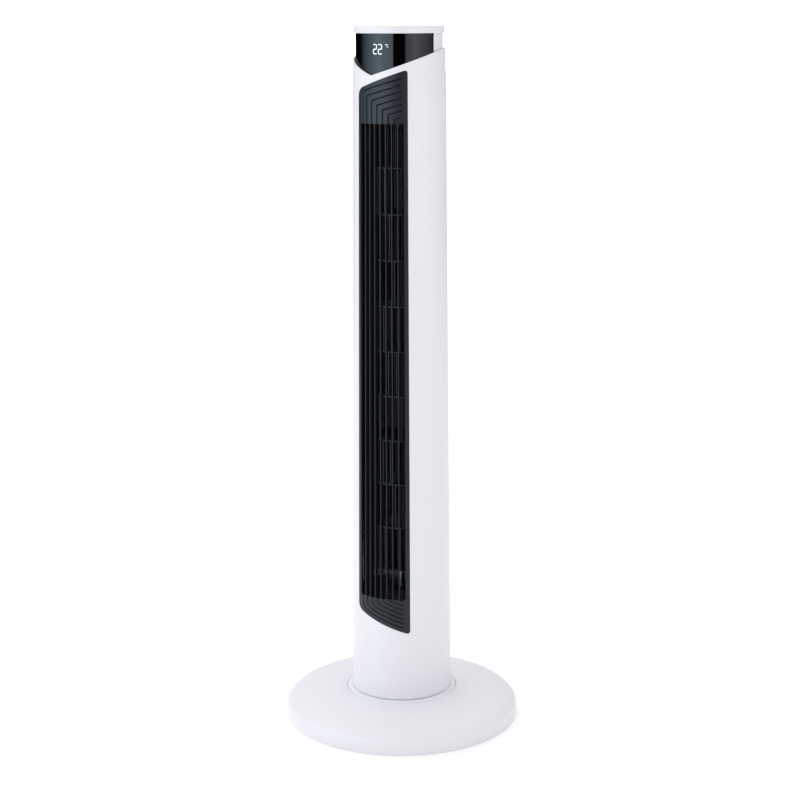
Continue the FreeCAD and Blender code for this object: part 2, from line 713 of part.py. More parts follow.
def slope_tool(name, drop, slope, turn):
    """Everything above a sloping plane; the plane's rise is turned about Z."""
    low = f"{CAP} - {drop} - 100 * ({slope})"
    high = f"{CAP} - {drop} + 100 * ({slope})"
    body = padded(name, [("-100", low), ("100", high), ("100", f"{CAP} + 100"), ("-100", f"{CAP} + 100")],
                  "300", both_ways=True)
    return drive(body, turn=turn)


def window_tool(name, margin):
    """Outline of the outlet window, drawn in by a margin, as a prism to the front."""
    top_x = f"({column(WINDOW_TOP)} * sin(window_angle) - {margin})"
    low_x = f"({column(WINDOW_LOW)} * sin(window_angle) - {margin})"
    top = f"{WINDOW_TOP} - {margin}"
    low = f"{WINDOW_LOW} + {margin}"
    body = padded(name, [
        (f"-{top_x}", f"{top} - window_top_slope * {top_x}"),
        (top_x, f"{top} + window_top_slope * {top_x}"),
        (low_x, f"{low} - window_low_slope * {low_x}"),
        (f"-{low_x}", f"{low} + window_low_slope * {low_x}"),
    ], "foot_radius + 20")

    def side(left):
        def test(edge):
            box = edge.BoundBox
            along = box.YLength > 1 and box.XLength < 0.01 and box.ZLength < 0.01
            return along and (box.XMax < 0) == left
        return test

    round_edges(body, 12, side(True))
    round_edges(body, 3, side(False))
    return body


def shell_boss(name, side, level, front):
    """Screw boss inside a shell; the screw runs front to back."""
    x = f"{side} * {column(level, BOSS_INSET)}"
    return bar(name, 4, x, (FRONT_BOSS if front else REAR_BOSS)[0], level, "10")


def boss_rib(name, side, level, depth):
    """Web that ties a boss to the shell beside it."""
    inner = column(level, BOSS_INSET)
    limits = (inner, f"{inner} + 8.5") if side == "1" else (f"-{inner} - 8.5", f"-{inner}")
    return block(name, limits, depth, (f"{level} - 1", f"{level} + 1"))


def boss_spots():
    """Side and level of each shell screw: above the turntable, above the motor and under the head."""
    levels = ["(foot_level + 14)", f"({FRAME_TOP} - 14)", f"({BRACKET} + 17)"]
    return [(f"{side}", level) for level in levels for side in (-1, 1)]


def shell_screw(name, side, level):
    """Screw through the rear boss into the front one."""
    head_radius, shank_radius, length = SCREW_SIZES["shell"]
    x = f"{side} * {column(level, BOSS_INSET)}"
    shank = bar(name + "_shank", shank_radius, x, f"{REAR_BOSS[1]} - {length}", level, length)
    return fuse(name, shank, bar(name + "_head", head_radius, x, REAR_BOSS[1], level, 2))


def shell_screw_hole(name, side, level):
    """Hole for the shank, and a wider way in from the back for the head and the driver."""
    head_radius, shank_radius, length = SCREW_SIZES["shell"]
    x = f"{side} * {column(level, BOSS_INSET)}"
    start = f"{REAR_BOSS[1]} - {length}"
    shank = bar(name + "_shank", f"{shank_radius} + running_gap", x, start, level, length + 1)
    way_in = bar(name + "_way_in", f"{head_radius} + gap", x, REAR_BOSS[1], level, "foot_radius")
    return fuse(name, shank, way_in)


def make_front_housing():
    """Front shell: outlet window below, and a slanted V at the top that bares the display."""
    shell = sleeve("front_sleeve", "0", "shell_wall", SHELL_LOW, SHELL_TOP, "0", "seam_angle")
    notch = common("collar_notch", slope_tool("right_slope", "right_cut_drop", "right_cut_slope", "cut_turn"),
                   slope_tool("left_slope", "left_cut_drop", "-left_cut_slope", "-cut_turn"))
    trimmed = cut("front_trimmed", shell, notch, window_tool("window", "0"))
    bosses = [shell_boss(f"front_boss_{i}", *spot, True) for i, spot in enumerate(boss_spots())]
    ribs = [boss_rib(f"front_rib_{i}", *spot, (FRONT_BOSS[0], f"{FRONT_BOSS[1]} - 4")) for i, spot in enumerate(boss_spots())]
    held = common("front_fixings", fuse("front_boss_set", *bosses, *ribs),
                  sleeve("front_bounds", "shell_wall / 2", "foot_radius - 20", SHELL_LOW, SHELL_TOP, "0", "180"))
    holes = [shell_screw_hole(f"front_hole_{i}", *spot) for i, spot in enumerate(boss_spots())]
    keep(cut("front_housing", fuse("front_solid", trimmed, held), *holes), "front_housing")


def inlet_slots():
    """Rows of narrow slots over the back of the column, either side of a spine."""
    reach = "foot_radius + 20"
    slats_top = size("overall_height") - size("cap_thickness") - size("head_depth") - size("slats_drop")
    rows = int((slats_top - size("foot_level") - size("slats_rise")) / size("inlet_pitch"))
    slots = []
    for row in range(rows):
        low = f"{SLATS_LOW} + inlet_pitch * {row}"
        for side in (-1, 1):
            near, far = "inlet_spine / 2", "inlet_half_width"
            limits = (near, far) if side > 0 else (f"-({far})", f"-({near})")
            slots.append(block(f"inlet_{row}_{'right' if side > 0 else 'left'}", limits, ("20", reach),
                               (low, f"{low} + inlet_slot")))
    return group("inlet_slots", slots)


def make_rear_housing():
    """Rear shell with the air inlet, the mouth of the carrying recess and its bosses."""
    rear_half = "(180 - seam_angle - 0.15)"
    shell = sleeve("rear_sleeve", "0", "shell_wall", SHELL_LOW, SHELL_TOP, "180", rear_half)
    mouth = block("handle_mouth", ("-handle_half_width", "handle_half_width"), ("20", "foot_radius + 20"),
                  (f"{HANDLE_MID} - handle_height / 2", f"{HANDLE_MID} + handle_height / 2"))
    bosses = [shell_boss(f"rear_boss_{i}", *spot, False) for i, spot in enumerate(boss_spots())]
    ribs = [boss_rib(f"rear_rib_{i}", *spot, (f"{SEAM} + gap", f"{SEAM} + 4.5")) for i, spot in enumerate(boss_spots())]
    held = common("rear_fixings", fuse("rear_boss_set", *bosses, *ribs),
                  sleeve("rear_bounds", "shell_wall / 2", "foot_radius - 20", SHELL_LOW, SHELL_TOP, "0", "180"))
    holes = [shell_screw_hole(f"rear_hole_{i}", *spot) for i, spot in enumerate(boss_spots())]
    slotted = cut("rear_slotted", shell, inlet_slots(), mouth)
    keep(cut("rear_housing", fuse("rear_solid", slotted, held), *holes), "rear_housing")
    screws = [shell_screw(f"shell_screw_{i}", *spot) for i, spot in enumerate(boss_spots())]
    keep(group("shell_screws", screws), "shell_screws")


def make_handle():
    """Cup behind the rear shell's mouth that the fingers reach into."""
    wall = "handle_wall"
    back = f"({column(HANDLE_MID)} - handle_depth)"
    low, high = f"{HANDLE_MID} - handle_height / 2", f"{HANDLE_MID} + handle_height / 2"
    outer = block("handle_block", (f"-handle_half_width - {wall}", f"handle_half_width + {wall}"),
                  (f"{back} - {wall}", "foot_radius"), (f"{low} - {wall}", f"{high} + {wall}"))
    bounds = sleeve("handle_bounds", "shell_wall + gap", "handle_depth + handle_wall + 10",
                    f"{low} - 10", f"{high} + 10", "0", "180")
    hollow = block("handle_hollow", ("-handle_half_width", "handle_half_width"), (back, "foot_radius + 10"),
                   (low, high))
    keep(cut("handle_cup", common("handle_solid", outer, bounds), hollow), "handle_cup")


def make_front_grille():
    """Outlet grille: a panel filling the window, upright slats and a lip behind the shell."""
    low, high = f"{WINDOW_LOW} - 40", f"{WINDOW_TOP} + 40"
    face = common("grille_face",
                  sleeve("grille_sleeve", "grille_recess", "grille_recess + grille_wall", low, high, "0", "60"),
                  window_tool("grille_window", "gap"))
    lip_inset = "shell_wall + gap"
    lip = sleeve("grille_lip", lip_inset, LIP_BACK, f"{WINDOW_LOW} - 22", f"{HEAD_LOW} - gap", "0",
                 "window_angle + 2.5")
    half_turn = "slats_angle"
    opening = make("Part::Cylinder", "slats_opening")
    drive(opening, Radius="foot_radius + 20", Height=f"{SLATS_TOP} - {SLATS_LOW}", z=SLATS_LOW)
    drive(opening, Angle=f"2 * {half_turn}", turn=f"-90 - {half_turn}")
    plates = []
    count = int(size("slat_count"))
    for i in range(count):
        plate = make("Part::Box", f"slat_plate_{i}")
        angle = f"({i} - {(count - 1) / 2}) * slat_pitch"
        drive(plate, Length="slat_thickness", Width="foot_radius + 10", Height=f"{SLATS_TOP} - {SLATS_LOW} + 8")
        drive(plate, x=f"slat_thickness / 2 * -cos({angle}) + (foot_radius + 10) * sin({angle})",
              y=f"slat_thickness / 2 * -sin({angle}) - (foot_radius + 10) * cos({angle})",
              z=f"{SLATS_LOW} - 4", turn=angle)
        plates.append(plate)
    slats = common("grille_slats", group("slat_plates", plates),
                   sleeve("slats_sleeve", "grille_recess + 0.3", "grille_recess + slat_depth",
                          f"{SLATS_LOW} - 4", f"{SLATS_TOP} + 4", "0", "slats_angle + 2"))
    keep(fuse("front_grille", cut("grille_panel", fuse("grille_closed", face, lip), opening), slats),
         "front_grille")


# ---- head ----------------------------------------------------------------------------------

def sector(name, inner, outer, low, high, middle, half):
    """Upright curved wall of constant radius for an arc of angles about a middle."""
    solid = rod(name + "_outer", outer, low, high)
    drive(solid, Angle=f"2 * ({half})", turn=f"{middle} - 90 - ({half})")
    return cut(name, solid, rod(name + "_inner", inner, low, high))


def make_head():
    """Neck under the cap: a tube that carries the display lens in front, bare at the back."""
    tube_outer = f"{NECK} - lens_wall - gap"
    tube_inner = f"{tube_outer} - head_wall"
    core = tube("head_tube", tube_inner, tube_outer, HEAD_LOW, CAP)
    floor = rod("head_floor", column(HEAD_LOW, "shell_wall + 2 * gap"), HEAD_LOW, f"{HEAD_LOW} + 2.5")
    back = sector("head_back", f"{tube_outer} - 0.5", NECK, HEAD_LOW, CAP, "180",
                  "180 - lens_angle - 0.3")
    wires = rod("head_wire_hole", 12, f"{HEAD_LOW} - 1", f"{HEAD_LOW} + 4", "0", "-20")
    window = block("head_window", ("-19", "19"), ("-foot_radius", "0"), (f"{CAP} - 31", f"{CAP} - 9"))
    keep(cut("head_frame", fuse("head_solid", core, floor, back), wires, window), "head_frame")
    keep(sector("display_lens", f"{NECK} - lens_wall", NECK, f"{HEAD_LOW} + 2.5 + gap", CAP,
                "0", "lens_angle"), "display_lens")
    face = f"-({tube_inner} - 7)"
    keep(block("display_board", ("-24", "24"), (face, f"{face} + board_thickness"), (f"{CAP} - 31", f"{CAP} - 9")),
         "display_board")
    keep(block("led_module", ("-14", "14"), (f"{face} - 4.5", face), (f"{CAP} - 29", f"{CAP} - 11")), "led_module")
    keep(bar("remote_receiver", 2, "17", f"{face} - 3", f"{CAP} - 20", 3), "remote_receiver")


def button_spot(index):
    return f"({index} - {(len(BUTTONS) - 1) / 2}) * button_spacing", "-button_setback"


def make_cap():
    """Round cap with a sunk panel, holes for the buttons and posts for their board."""
    edge = "top_radius - cap_inset"
    body = turned("cap_solid", [
        ("0", "overall_height - 2"),
        (f"{SKIRT} - 5", "overall_height - 2"),
        (f"{SKIRT} - 3", "overall_height"),
        (edge, "overall_height"),
        (edge, CAP),
        (SKIRT, CAP),
        (SKIRT, f"{CAP} - 8"),
        (f"{SKIRT} - 2.5", f"{CAP} - 8"),
        (f"{SKIRT} - 2.5", BUTTON_WALL),
        ("0", BUTTON_WALL),
    ])
    rim = size("top_radius") - size("cap_inset")
    round_edges(body, 2, circle_edge(rim, size("overall_height")))
    round_edges(body, 0.8, circle_edge(rim, size("overall_height") - size("cap_thickness")))
    holes = [rod(f"button_hole_{i}", "button_radius + gap", f"{BUTTON_WALL} - 1", "overall_height", *button_spot(i))
             for i in range(len(BUTTONS))]
    board_top = f"{SWITCH_BOARD} + board_thickness"
    spots = [around(f"{SKIRT} - post_inset", 120 * i + 180) for i in range(3)]
    posts = [rod(f"board_post_{i}", 3, board_top, f"{BUTTON_WALL} + 1", *spot) for i, spot in enumerate(spots)]
    bores = [screw_hole(f"post_hole_{i}", "small", *spot, SWITCH_BOARD) for i, spot in enumerate(spots)]
    keep(cut("top_cap", fuse("cap_with_posts", body, *posts), *holes, *bores), "top_cap")
    board = rod("board_disc", f"{SKIRT} - 3", SWITCH_BOARD, board_top)
    drilled = [screw_hole(f"board_hole_{i}", "small", *spot, SWITCH_BOARD) for i, spot in enumerate(spots)]
    keep(cut("button_board", board, *drilled), "button_board")
    screws = [screw(f"board_screw_{i}", "small", *spot, SWITCH_BOARD) for i, spot in enumerate(spots)]
    keep(group("board_screws", screws), "board_screws")
    switches = []
    for i in range(len(BUTTONS)):
        x, y = button_spot(i)
        switches.append(block(f"switch_{i}", (f"{x} - 3", f"{x} + 3"), (f"{y} - 3", f"{y} + 3"),
                              (board_top, f"{board_top} + 3.5")))
    keep(group("button_switches", switches), "button_switches")


def make_buttons():
    """Round push buttons, each kept in by a flange, with a stem above its switch."""
    for i, word in enumerate(BUTTONS):
        spot = button_spot(i)
        flange_top = f"{BUTTON_WALL} - gap"
        stem_low = f"{SWITCH_BOARD} + board_thickness + 3.5 + button_travel + gap"
        cap = rod(f"{word}_cap", "button_radius", flange_top, "overall_height - 0.6", *spot)
        flange = rod(f"{word}_flange", "button_radius + 1.2", f"{flange_top} - 1", flange_top, *spot)
        stem = rod(f"{word}_stem", 2.5, stem_low, flange_top, *spot)
        keep(fuse(f"{word}_button", cap, flange, stem), f"{word}_button")


# ---- build, check and write ------------------------------------------------------------------

make_base_cover()
make_base_plate()
make_base_fittings()
make_turntable(make_swing_drive())
make_motor(make_lower_frame())
make_electronics()
make_impeller()
make_duct()
make_front_housing()
make_rear_housing()
make_handle()
make_front_grille()
make_head()
make_cap()
make_buttons()
doc.recompute()

faults = [f"{item.Name}: {item.State}" for item in doc.Objects
          if "Invalid" in item.State or "Error" in item.State]
for part in SUBPARTS:
    if part.Shape.isNull() or not part.Shape.isValid():
        faults.append(f"{part.Label}: shape is null or not valid")
if faults:
    raise RuntimeError("; ".join(faults))

os.makedirs("parts", exist_ok=True)
for part in SUBPARTS:
    part.Shape.exportStep(f"parts/{part.Label}.step")
    box = part.Shape.BoundBox
    print(f"{part.Label}: {len(part.Shape.Solids)} solid(s), {part.Shape.Volume / 1000:.1f} cm3, "
          f"z {box.ZMin:.1f} to {box.ZMax:.1f}")
print(f"{len(SUBPARTS)} sub-parts")
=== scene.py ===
# %% [markdown]
# # Tower fan
# A slender white column on a round foot, with a black outlet grille, a glossy display round
# its neck and a flat cap. The CAD model is loaded first as a fixed frame: it says where each
# part sits and how it moves. The cells after it dress that frame: they keep the CAD meshes
# that already look right, and make finer pieces where moulded plastic needs softer edges.

# %% Load the frame
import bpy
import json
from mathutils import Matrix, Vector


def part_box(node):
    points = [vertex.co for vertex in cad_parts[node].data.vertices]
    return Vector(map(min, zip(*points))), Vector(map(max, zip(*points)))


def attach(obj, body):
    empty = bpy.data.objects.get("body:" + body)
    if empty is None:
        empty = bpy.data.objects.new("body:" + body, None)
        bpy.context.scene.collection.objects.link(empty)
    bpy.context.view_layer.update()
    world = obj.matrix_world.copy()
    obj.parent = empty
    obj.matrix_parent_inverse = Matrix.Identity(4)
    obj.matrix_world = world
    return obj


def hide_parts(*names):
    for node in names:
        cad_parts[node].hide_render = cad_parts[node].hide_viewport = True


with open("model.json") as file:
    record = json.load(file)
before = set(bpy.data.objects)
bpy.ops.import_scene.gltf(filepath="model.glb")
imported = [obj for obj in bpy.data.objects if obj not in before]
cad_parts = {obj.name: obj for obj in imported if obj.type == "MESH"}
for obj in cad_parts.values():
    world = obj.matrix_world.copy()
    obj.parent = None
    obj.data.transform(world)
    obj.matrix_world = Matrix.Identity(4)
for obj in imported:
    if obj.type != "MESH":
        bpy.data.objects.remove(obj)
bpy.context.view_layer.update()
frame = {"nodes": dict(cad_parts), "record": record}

# %% [markdown]
# ## Sizes taken from the frame
# Every length below is in millimetres and becomes metres only when a mesh is made. The
# column narrows evenly from the foot to the cap, so one small function gives its radius at
# any level, and every piece that follows the column asks it. Angles are counted from the
# front of the fan (the -Y side), positive towards +X.

# %% Sizes
import json
import math
import bmesh
import bpy
from mathutils import Matrix, Vector

MM = 0.001


def low(node):
    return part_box(node)[0] / MM


def high(node):
    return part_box(node)[1] / MM


cap_low = high("head_frame").z
cap_inset = 0.9
top_radius = high("top_cap").x + cap_inset
shell_low = low("front_housing").z
shell_top = high("rear_housing").z
foot_radius = high("front_housing").x
neck_step = 3.4
neck_radius = top_radius - neck_step


def column(level, inset=0.0):
    """Radius of the column at a level, less an inset."""
    rise = (level - shell_low) / (cap_low - shell_low)
    return foot_radius + (top_radius - foot_radius) * rise - inset


def spot(angle, level, radius):
    """Point on a circle round the column's axis; the angle is in degrees from the front."""
    turn = math.radians(angle)
    return Vector((radius * math.sin(turn), -radius * math.cos(turn), level))


print(f"column {foot_radius:.1f} to {column(cap_low):.1f} mm, neck {neck_radius:.1f} mm")
print(f"shell from {shell_low:.1f} to {shell_top:.1f} mm, cap at {cap_low:.1f} mm")

# %% [markdown]
# ## Helpers for meshes
# A piece made here is a list of points and faces. Its points are in millimetres and already
# in place, so the finished object sits at the origin unturned. Edges sharper than a chosen
# angle stay crisp and the rest are shaded smooth. Normals are worked out after doubled
# points are merged, so that every face looks outwards.

# %% Mesh helpers


def new_object(name, mesh, material=None):
    piece = bpy.data.objects.new(name, mesh)
    bpy.context.scene.collection.objects.link(piece)
    if material:
        piece.data.materials.append(material)
    return piece


def tidy(mesh, merge=0.002, crease=35, recalculate=True):
    """Merge doubled points, turn faces outwards and set which edges stay crisp."""
    bm = bmesh.new()
    bm.from_mesh(mesh)
    bmesh.ops.remove_doubles(bm, verts=bm.verts, dist=merge * MM)
    bmesh.ops.dissolve_degenerate(bm, edges=bm.edges, dist=merge * MM)
    if recalculate:
        bmesh.ops.recalc_face_normals(bm, faces=bm.faces)
    bm.to_mesh(mesh)
    bm.free()
    mesh.shade_smooth()
    mesh.set_sharp_from_angle(angle=math.radians(crease))
    return mesh


def built(name, points, faces, material, crease=35):
    """Object from points in millimetres and faces."""
    mesh = bpy.data.meshes.new(name)
    mesh.from_pydata([Vector(p) * MM for p in points], [], faces)
    return new_object(name, tidy(mesh, crease=crease), material)


def settled(piece):
    """Turn a piece and its modifiers into a plain mesh with no modifiers left."""
    bpy.context.view_layer.update()
    seen = piece.evaluated_get(bpy.context.evaluated_depsgraph_get())
    mesh = bpy.data.meshes.new_from_object(seen)
    piece.modifiers.clear()
    if piece.type == "MESH":
        piece.data = mesh
        return piece
    name, materials = piece.name, list(piece.data.materials)
    bpy.data.objects.remove(piece)
    flat = new_object(name, mesh)
    for material in materials if not mesh.materials else ():
        mesh.materials.append(material)
    return flat


def fitted(piece, body, *nodes, slot=None):
    """Let a finished piece ride on its body, in place of the CAD nodes it stands for."""
    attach(piece, body)
    if nodes:
        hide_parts(*nodes)
    print(f"{piece.name}: {len(piece.data.polygons)} faces on {body}")
    return piece


def rounded(corners, steps=5):
    """Outline whose corners (x, y, radius) are drawn as arcs of that radius."""
    line = []
    for i, (x, y, radius) in enumerate(corners):
        here = Vector((x, y))
        before = Vector(corners[i - 1][:2]) - here
        after = Vector(corners[(i + 1) % len(corners)][:2]) - here
        if radius <= 0 or before.length < 1e-6 or after.length < 1e-6:
            line.append(here)
            continue
        half = before.angle(after) / 2
        reach = min(radius / math.tan(half), 0.49 * before.length, 0.49 * after.length)
        centre = here + (before.normalized() + after.normalized()).normalized() * (
            reach / math.cos(half))
        start = here + before.normalized() * reach - centre
        turn = start.angle_signed(here + after.normalized() * reach - centre)
        for k in range(steps + 1):
            arc = start.copy()
            arc.rotate(Matrix.Rotation(-turn * k / steps, 2))
            line.append(centre + arc)
    return line


def evenly(start, stop, size):
    """Values from start up to, but not including, stop, spaced evenly and close to a size."""
    count = max(1, round(abs(stop - start) / size))
    return [start + (stop - start) * i / count for i in range(count)]


def lathe(name, outline, material, segments=192, crease=35):
    """Solid of revolution about Z from a closed outline of (radius, level) points."""
    points, faces, n = [], [], len(outline)
    for i in range(segments):
        for radius, level in outline:
            points.append(spot(360 * i / segments, level, max(radius, 0)))
    for i in range(segments):
        j = (i + 1) % segments
        for k in range(n):
            m = (k + 1) % n
            if outline[k][0] < 1e-6 and outline[m][0] < 1e-6:
                continue
            faces.append((i * n + k, j * n + k, j * n + m, i * n + m))
    return built(name, points, faces, material, crease)


# %% [markdown]
# ## Colour and node helpers
# Colours are written as the hex values an artist would pick on screen. Cycles works in
# linear light, so one function converts them. Another adds a shader node, with its settings
# and links in one line; that keeps every material short enough to read.

# %% Node helpers


def linear(code):
    """Hex colour as seen on screen, in linear light."""
    channels = [int(code[i:i + 2], 16) / 255 for i in (1, 3, 5)]
    straight = [c / 12.92 if c <= 0.04045 else ((c + 0.055) / 1.055) ** 2.4 for c in channels]
    return straight + [1.0]


def add(tree, kind, settings=None, **inputs):
    """Add a node, set its properties and fill its sockets with values or other sockets."""
    node = tree.nodes.new(kind)
    for key, value in (settings or {}).items():
        setattr(node, key, value)
    for key, value in inputs.items():
        key = key.replace("_", " ")
        socket = node.inputs[int(key)] if key.isdigit() else node.inputs[key]
        if isinstance(value, bpy.types.NodeSocket):
            tree.links.new(value, socket)
        else:
            socket.default_value = value
    return node


def finish_of(name, light, dark, grain, rough, bump=0.0, metallic=0.0, stretch=(1, 1, 1),
              **more):
    """Material whose colour and roughness drift over a grain of the given size in mm."""
    material = bpy.data.materials.new(name)
    material.use_nodes = True
    tree = material.node_tree
    shader = tree.nodes["Principled BSDF"]
    place = add(tree, "ShaderNodeTexCoord")
    scaled = add(tree, "ShaderNodeMapping", Vector=place.outputs["Object"], Scale=stretch)
    drift = add(tree, "ShaderNodeTexNoise", Vector=scaled.outputs["Vector"], Scale=1 / (grain * MM),
                Detail=4.0, Roughness=0.55)
    tint = add(tree, "ShaderNodeValToRGB", **{"0": drift.outputs["Fac"]})
    tint.color_ramp.elements[0].position = 0.3
    tint.color_ramp.elements[0].color = linear(dark)
    tint.color_ramp.elements[1].position = 0.7
    tint.color_ramp.elements[1].color = linear(light)
    gloss = add(tree, "ShaderNodeMapRange", Value=drift.outputs["Fac"],
                **{"3": rough[0], "4": rough[1]})
    tree.links.new(tint.outputs["Color"], shader.inputs["Base Color"])
    tree.links.new(gloss.outputs["Result"], shader.inputs["Roughness"])
    if bump:
        relief = add(tree, "ShaderNodeBump", Height=drift.outputs["Fac"], Strength=0.6,
                     Distance=bump * MM)
        tree.links.new(relief.outputs["Normal"], shader.inputs["Normal"])
    shader.inputs["Metallic"].default_value = metallic
    for key, value in more.items():
        shader.inputs[key.replace("_", " ")].default_value = value
    return material


# %% [markdown]
# ## Finishes
# Nearly all of the fan is moulded plastic. White ABS comes from a finely spark-eroded mould,
# which leaves a grain of about a tenth of a millimetre: too fine to see, so it is drawn
# coarser and very shallow, and it only softens the highlight. The grille is the same plastic
# in charcoal, with a tighter sheen. The display is a strip of black acrylic, polished like
# glass, so it shows the lamps of the room as upright bands.

# %% Plastics and rubber
# Spark-eroded mould: an even, soft sheen that never mirrors.
white_abs = finish_of("Fine textured white ABS", "#e8e8ed", "#e5e5ea", 1.2, (0.42, 0.5),
                      bump=0.004)
# The same plastic in charcoal: a tighter sheen that stays dark where it faces the sky.
grille_abs = finish_of("Satin charcoal ABS", "#1c1f25", "#181b20", 1.0, (0.32, 0.4), bump=0.004,
                       Specular_IOR_Level=0.35)
# Polished sheet: almost black by itself, and all that is seen in it is reflection.
black_acrylic = finish_of("Polished black acrylic", "#050506", "#040405", 30.0, (0.03, 0.05),
                          IOR=1.49)
# Plain mould for ducts and frames: dull, a little grey.
duct_plastic = finish_of("Matt black polypropylene", "#202225", "#191b1d", 1.5, (0.5, 0.62),
                         bump=0.006)
# Glass fibre near the skin gives a slightly streaky sheen.
impeller_plastic = finish_of("Glass filled black nylon", "#26282b", "#1c1e20", 0.9, (0.38, 0.52),
                             bump=0.006)
# Waxy and faintly see-through at its edges.
acetal = finish_of("Natural acetal", "#e6e3d8", "#dcd8cb", 2.0, (0.28, 0.36),
                   Subsurface_Weight=0.05)
# Soft, dusty black with hardly any highlight.
soft_rubber = finish_of("Moulded nitrile rubber", "#303032", "#252527", 0.8, (0.72, 0.85),
                        bump=0.01)
# Finer mould than the shells, so the keys shine a little more.
button_plastic = finish_of("Satin grey ABS", "#c3c5ca", "#bcbec3", 1.0, (0.36, 0.44), bump=0.004)
print("eight plastics and rubbers")

# %% [markdown]
# ## Metals and electrical finishes
# Below the covers there is zinc plated steel, ground shaft steel, stacked motor laminations
# and enamelled copper wire. The stack and the coil show fine lines, so the grain is squeezed
# in one direction: along Z for sheets lying flat, and across for wire. Cast iron ballast is
# rough and dull. A circuit board is green lacquer over copper and has a slight gloss.

# %% Metals and boards
# Bright and slightly cloudy, as plating over pressed sheet is.
zinc_steel = finish_of("Zinc plated steel", "#c9ccd0", "#b3b7bd", 1.5, (0.26, 0.4), metallic=1.0)
# Ground round the shaft: fine rings that draw the highlight out.
ground_steel = finish_of("Ground shaft steel", "#cfd1d4", "#b9bcc0", 0.4, (0.16, 0.28),
                         metallic=1.0, stretch=(1, 1, 6))
# Half-millimetre sheets in a stack: dark lines lying flat.
lamination = finish_of("Stacked electrical steel", "#83858a", "#4c4e53", 0.5, (0.4, 0.55),
                       metallic=1.0, bump=0.05, stretch=(0.05, 0.05, 1))
# Varnished wire: warm, glossy lines that follow the winding.
copper_wire = finish_of("Enamelled copper wire", "#b8612d", "#6d3113", 0.6, (0.25, 0.4),
                        metallic=1.0, bump=0.12, stretch=(0.1, 0.1, 1))
# Sand-cast and dipped: coarse and dull.
cast_iron = finish_of("Painted cast iron", "#4a4b4d", "#3a3b3d", 2.5, (0.6, 0.75), bump=0.15)
# Lacquer over copper tracks: green with a slight gloss.
circuit_board = finish_of("Green solder resist", "#1f6b3a", "#15512a", 3.0, (0.3, 0.4))
# Moulded round a chip or a switch: dark grey, half dull.
component = finish_of("Black epoxy moulding", "#222325", "#1a1b1c", 1.0, (0.35, 0.5))
print("metals, iron, board and component finishes")

# %% [markdown]
# ## Dress the CAD nodes
# The record gives each CAD node a material slot. A table from slot to finish covers every
# node in one loop, so a node that no finer piece replaces is dressed already.

# %% Slots
slot_finish = {
    "white_shell": white_abs, "grille_black": grille_abs, "display_gloss": black_acrylic,
    "duct_black": duct_plastic, "acetal": acetal, "rubber": soft_rubber, "ballast_iron": cast_iron,
    "zinc_steel": zinc_steel, "ground_steel": ground_steel, "lamination": lamination,
    "copper_winding": copper_wire, "circuit_board": circuit_board, "component_black": component,
    "button_grey": button_plastic,
}
slot_of = {row["node"]: row["material_slot"] for row in frame["record"]["subparts"]}
for node, piece in frame["nodes"].items():
    piece.data.materials.clear()
    piece.data.materials.append(slot_finish[slot_of[node]])
frame["nodes"]["impeller"].data.materials[0] = impeller_plastic
print("dressed", len(slot_of), "nodes")

# %% [markdown]
# ## Moulded shells with soft edges
# A moulding has no razor edge: the mould gives every rim a small radius, and that radius
# catches the light as a fine bright line round the window and the collar. A copy of the CAD
# mesh is merged into one skin, its flat runs are joined into larger faces, and a Bevel
# modifier rounds only the edges that turn sharply. The lowest points of the base cover are
# then let down a little, so that no bright line of floor shows under its rim.

# %% Soften the shells
skin_merge = 0.003
flat_within = 0.4
sharp_beyond = 40


def softened(name, node, width, body="tower", material=white_abs, segments=3):
    """Copy of a CAD node with its sharp edges rounded by a width in mm."""
    source = frame["nodes"][node]
    mesh = source.data.copy()
    mesh.materials.clear()
    bm = bmesh.new()
    bm.from_mesh(mesh)
    bmesh.ops.remove_doubles(bm, verts=bm.verts, dist=skin_merge * MM)
    bmesh.ops.dissolve_degenerate(bm, edges=bm.edges, dist=skin_merge * MM)
    bmesh.ops.dissolve_limit(bm, angle_limit=math.radians(flat_within), verts=bm.verts,
                             edges=bm.edges, delimit={"NORMAL"})
    bm.to_mesh(mesh)
    bm.free()
    mesh.shade_smooth()
    mesh.name = name
    piece = new_object(name, mesh, material)
    edge = piece.modifiers.new("Soft edges", "BEVEL")
    edge.width = width * MM
    edge.segments = segments
    edge.limit_method = "ANGLE"
    edge.angle_limit = math.radians(sharp_beyond)
    edge.use_clamp_overlap = True
    edge.harden_normals = True
    settled(piece)
    return fitted(piece, body, node, slot=slot_of[node])


softened("rear_shell", "rear_housing", 0.4)
softened("neck_frame", "head_frame", 0.3)
softened("handle_recess", "handle_cup", 0.6)
softened("flat_cap", "top_cap", 0.4)
softened("turning_disc", "turntable", 0.3)
base_dome = softened("base_dome", "base_cover", 0.3, body="base")
rim_below = 1.3
rim_let_down = 0.55
for vertex in base_dome.data.vertices:
    if vertex.co.z < rim_below * MM:
        vertex.co.z -= rim_let_down * MM
softened("foot_pads", "rubber_feet", 0.8, body="base", material=soft_rubber)

# %% [markdown]
# ## A tree that repeats a shape
# Slats, impeller blades, rings and screws are one shape set again and again round the
# column's axis and up it. One Geometry Nodes tree does that for all of them: the index of
# each point is split into a step round and a step up, which give its turn and its height.
# Instances are light while they are being set, and Realize Instances makes them real faces.

# %% Repeat tree


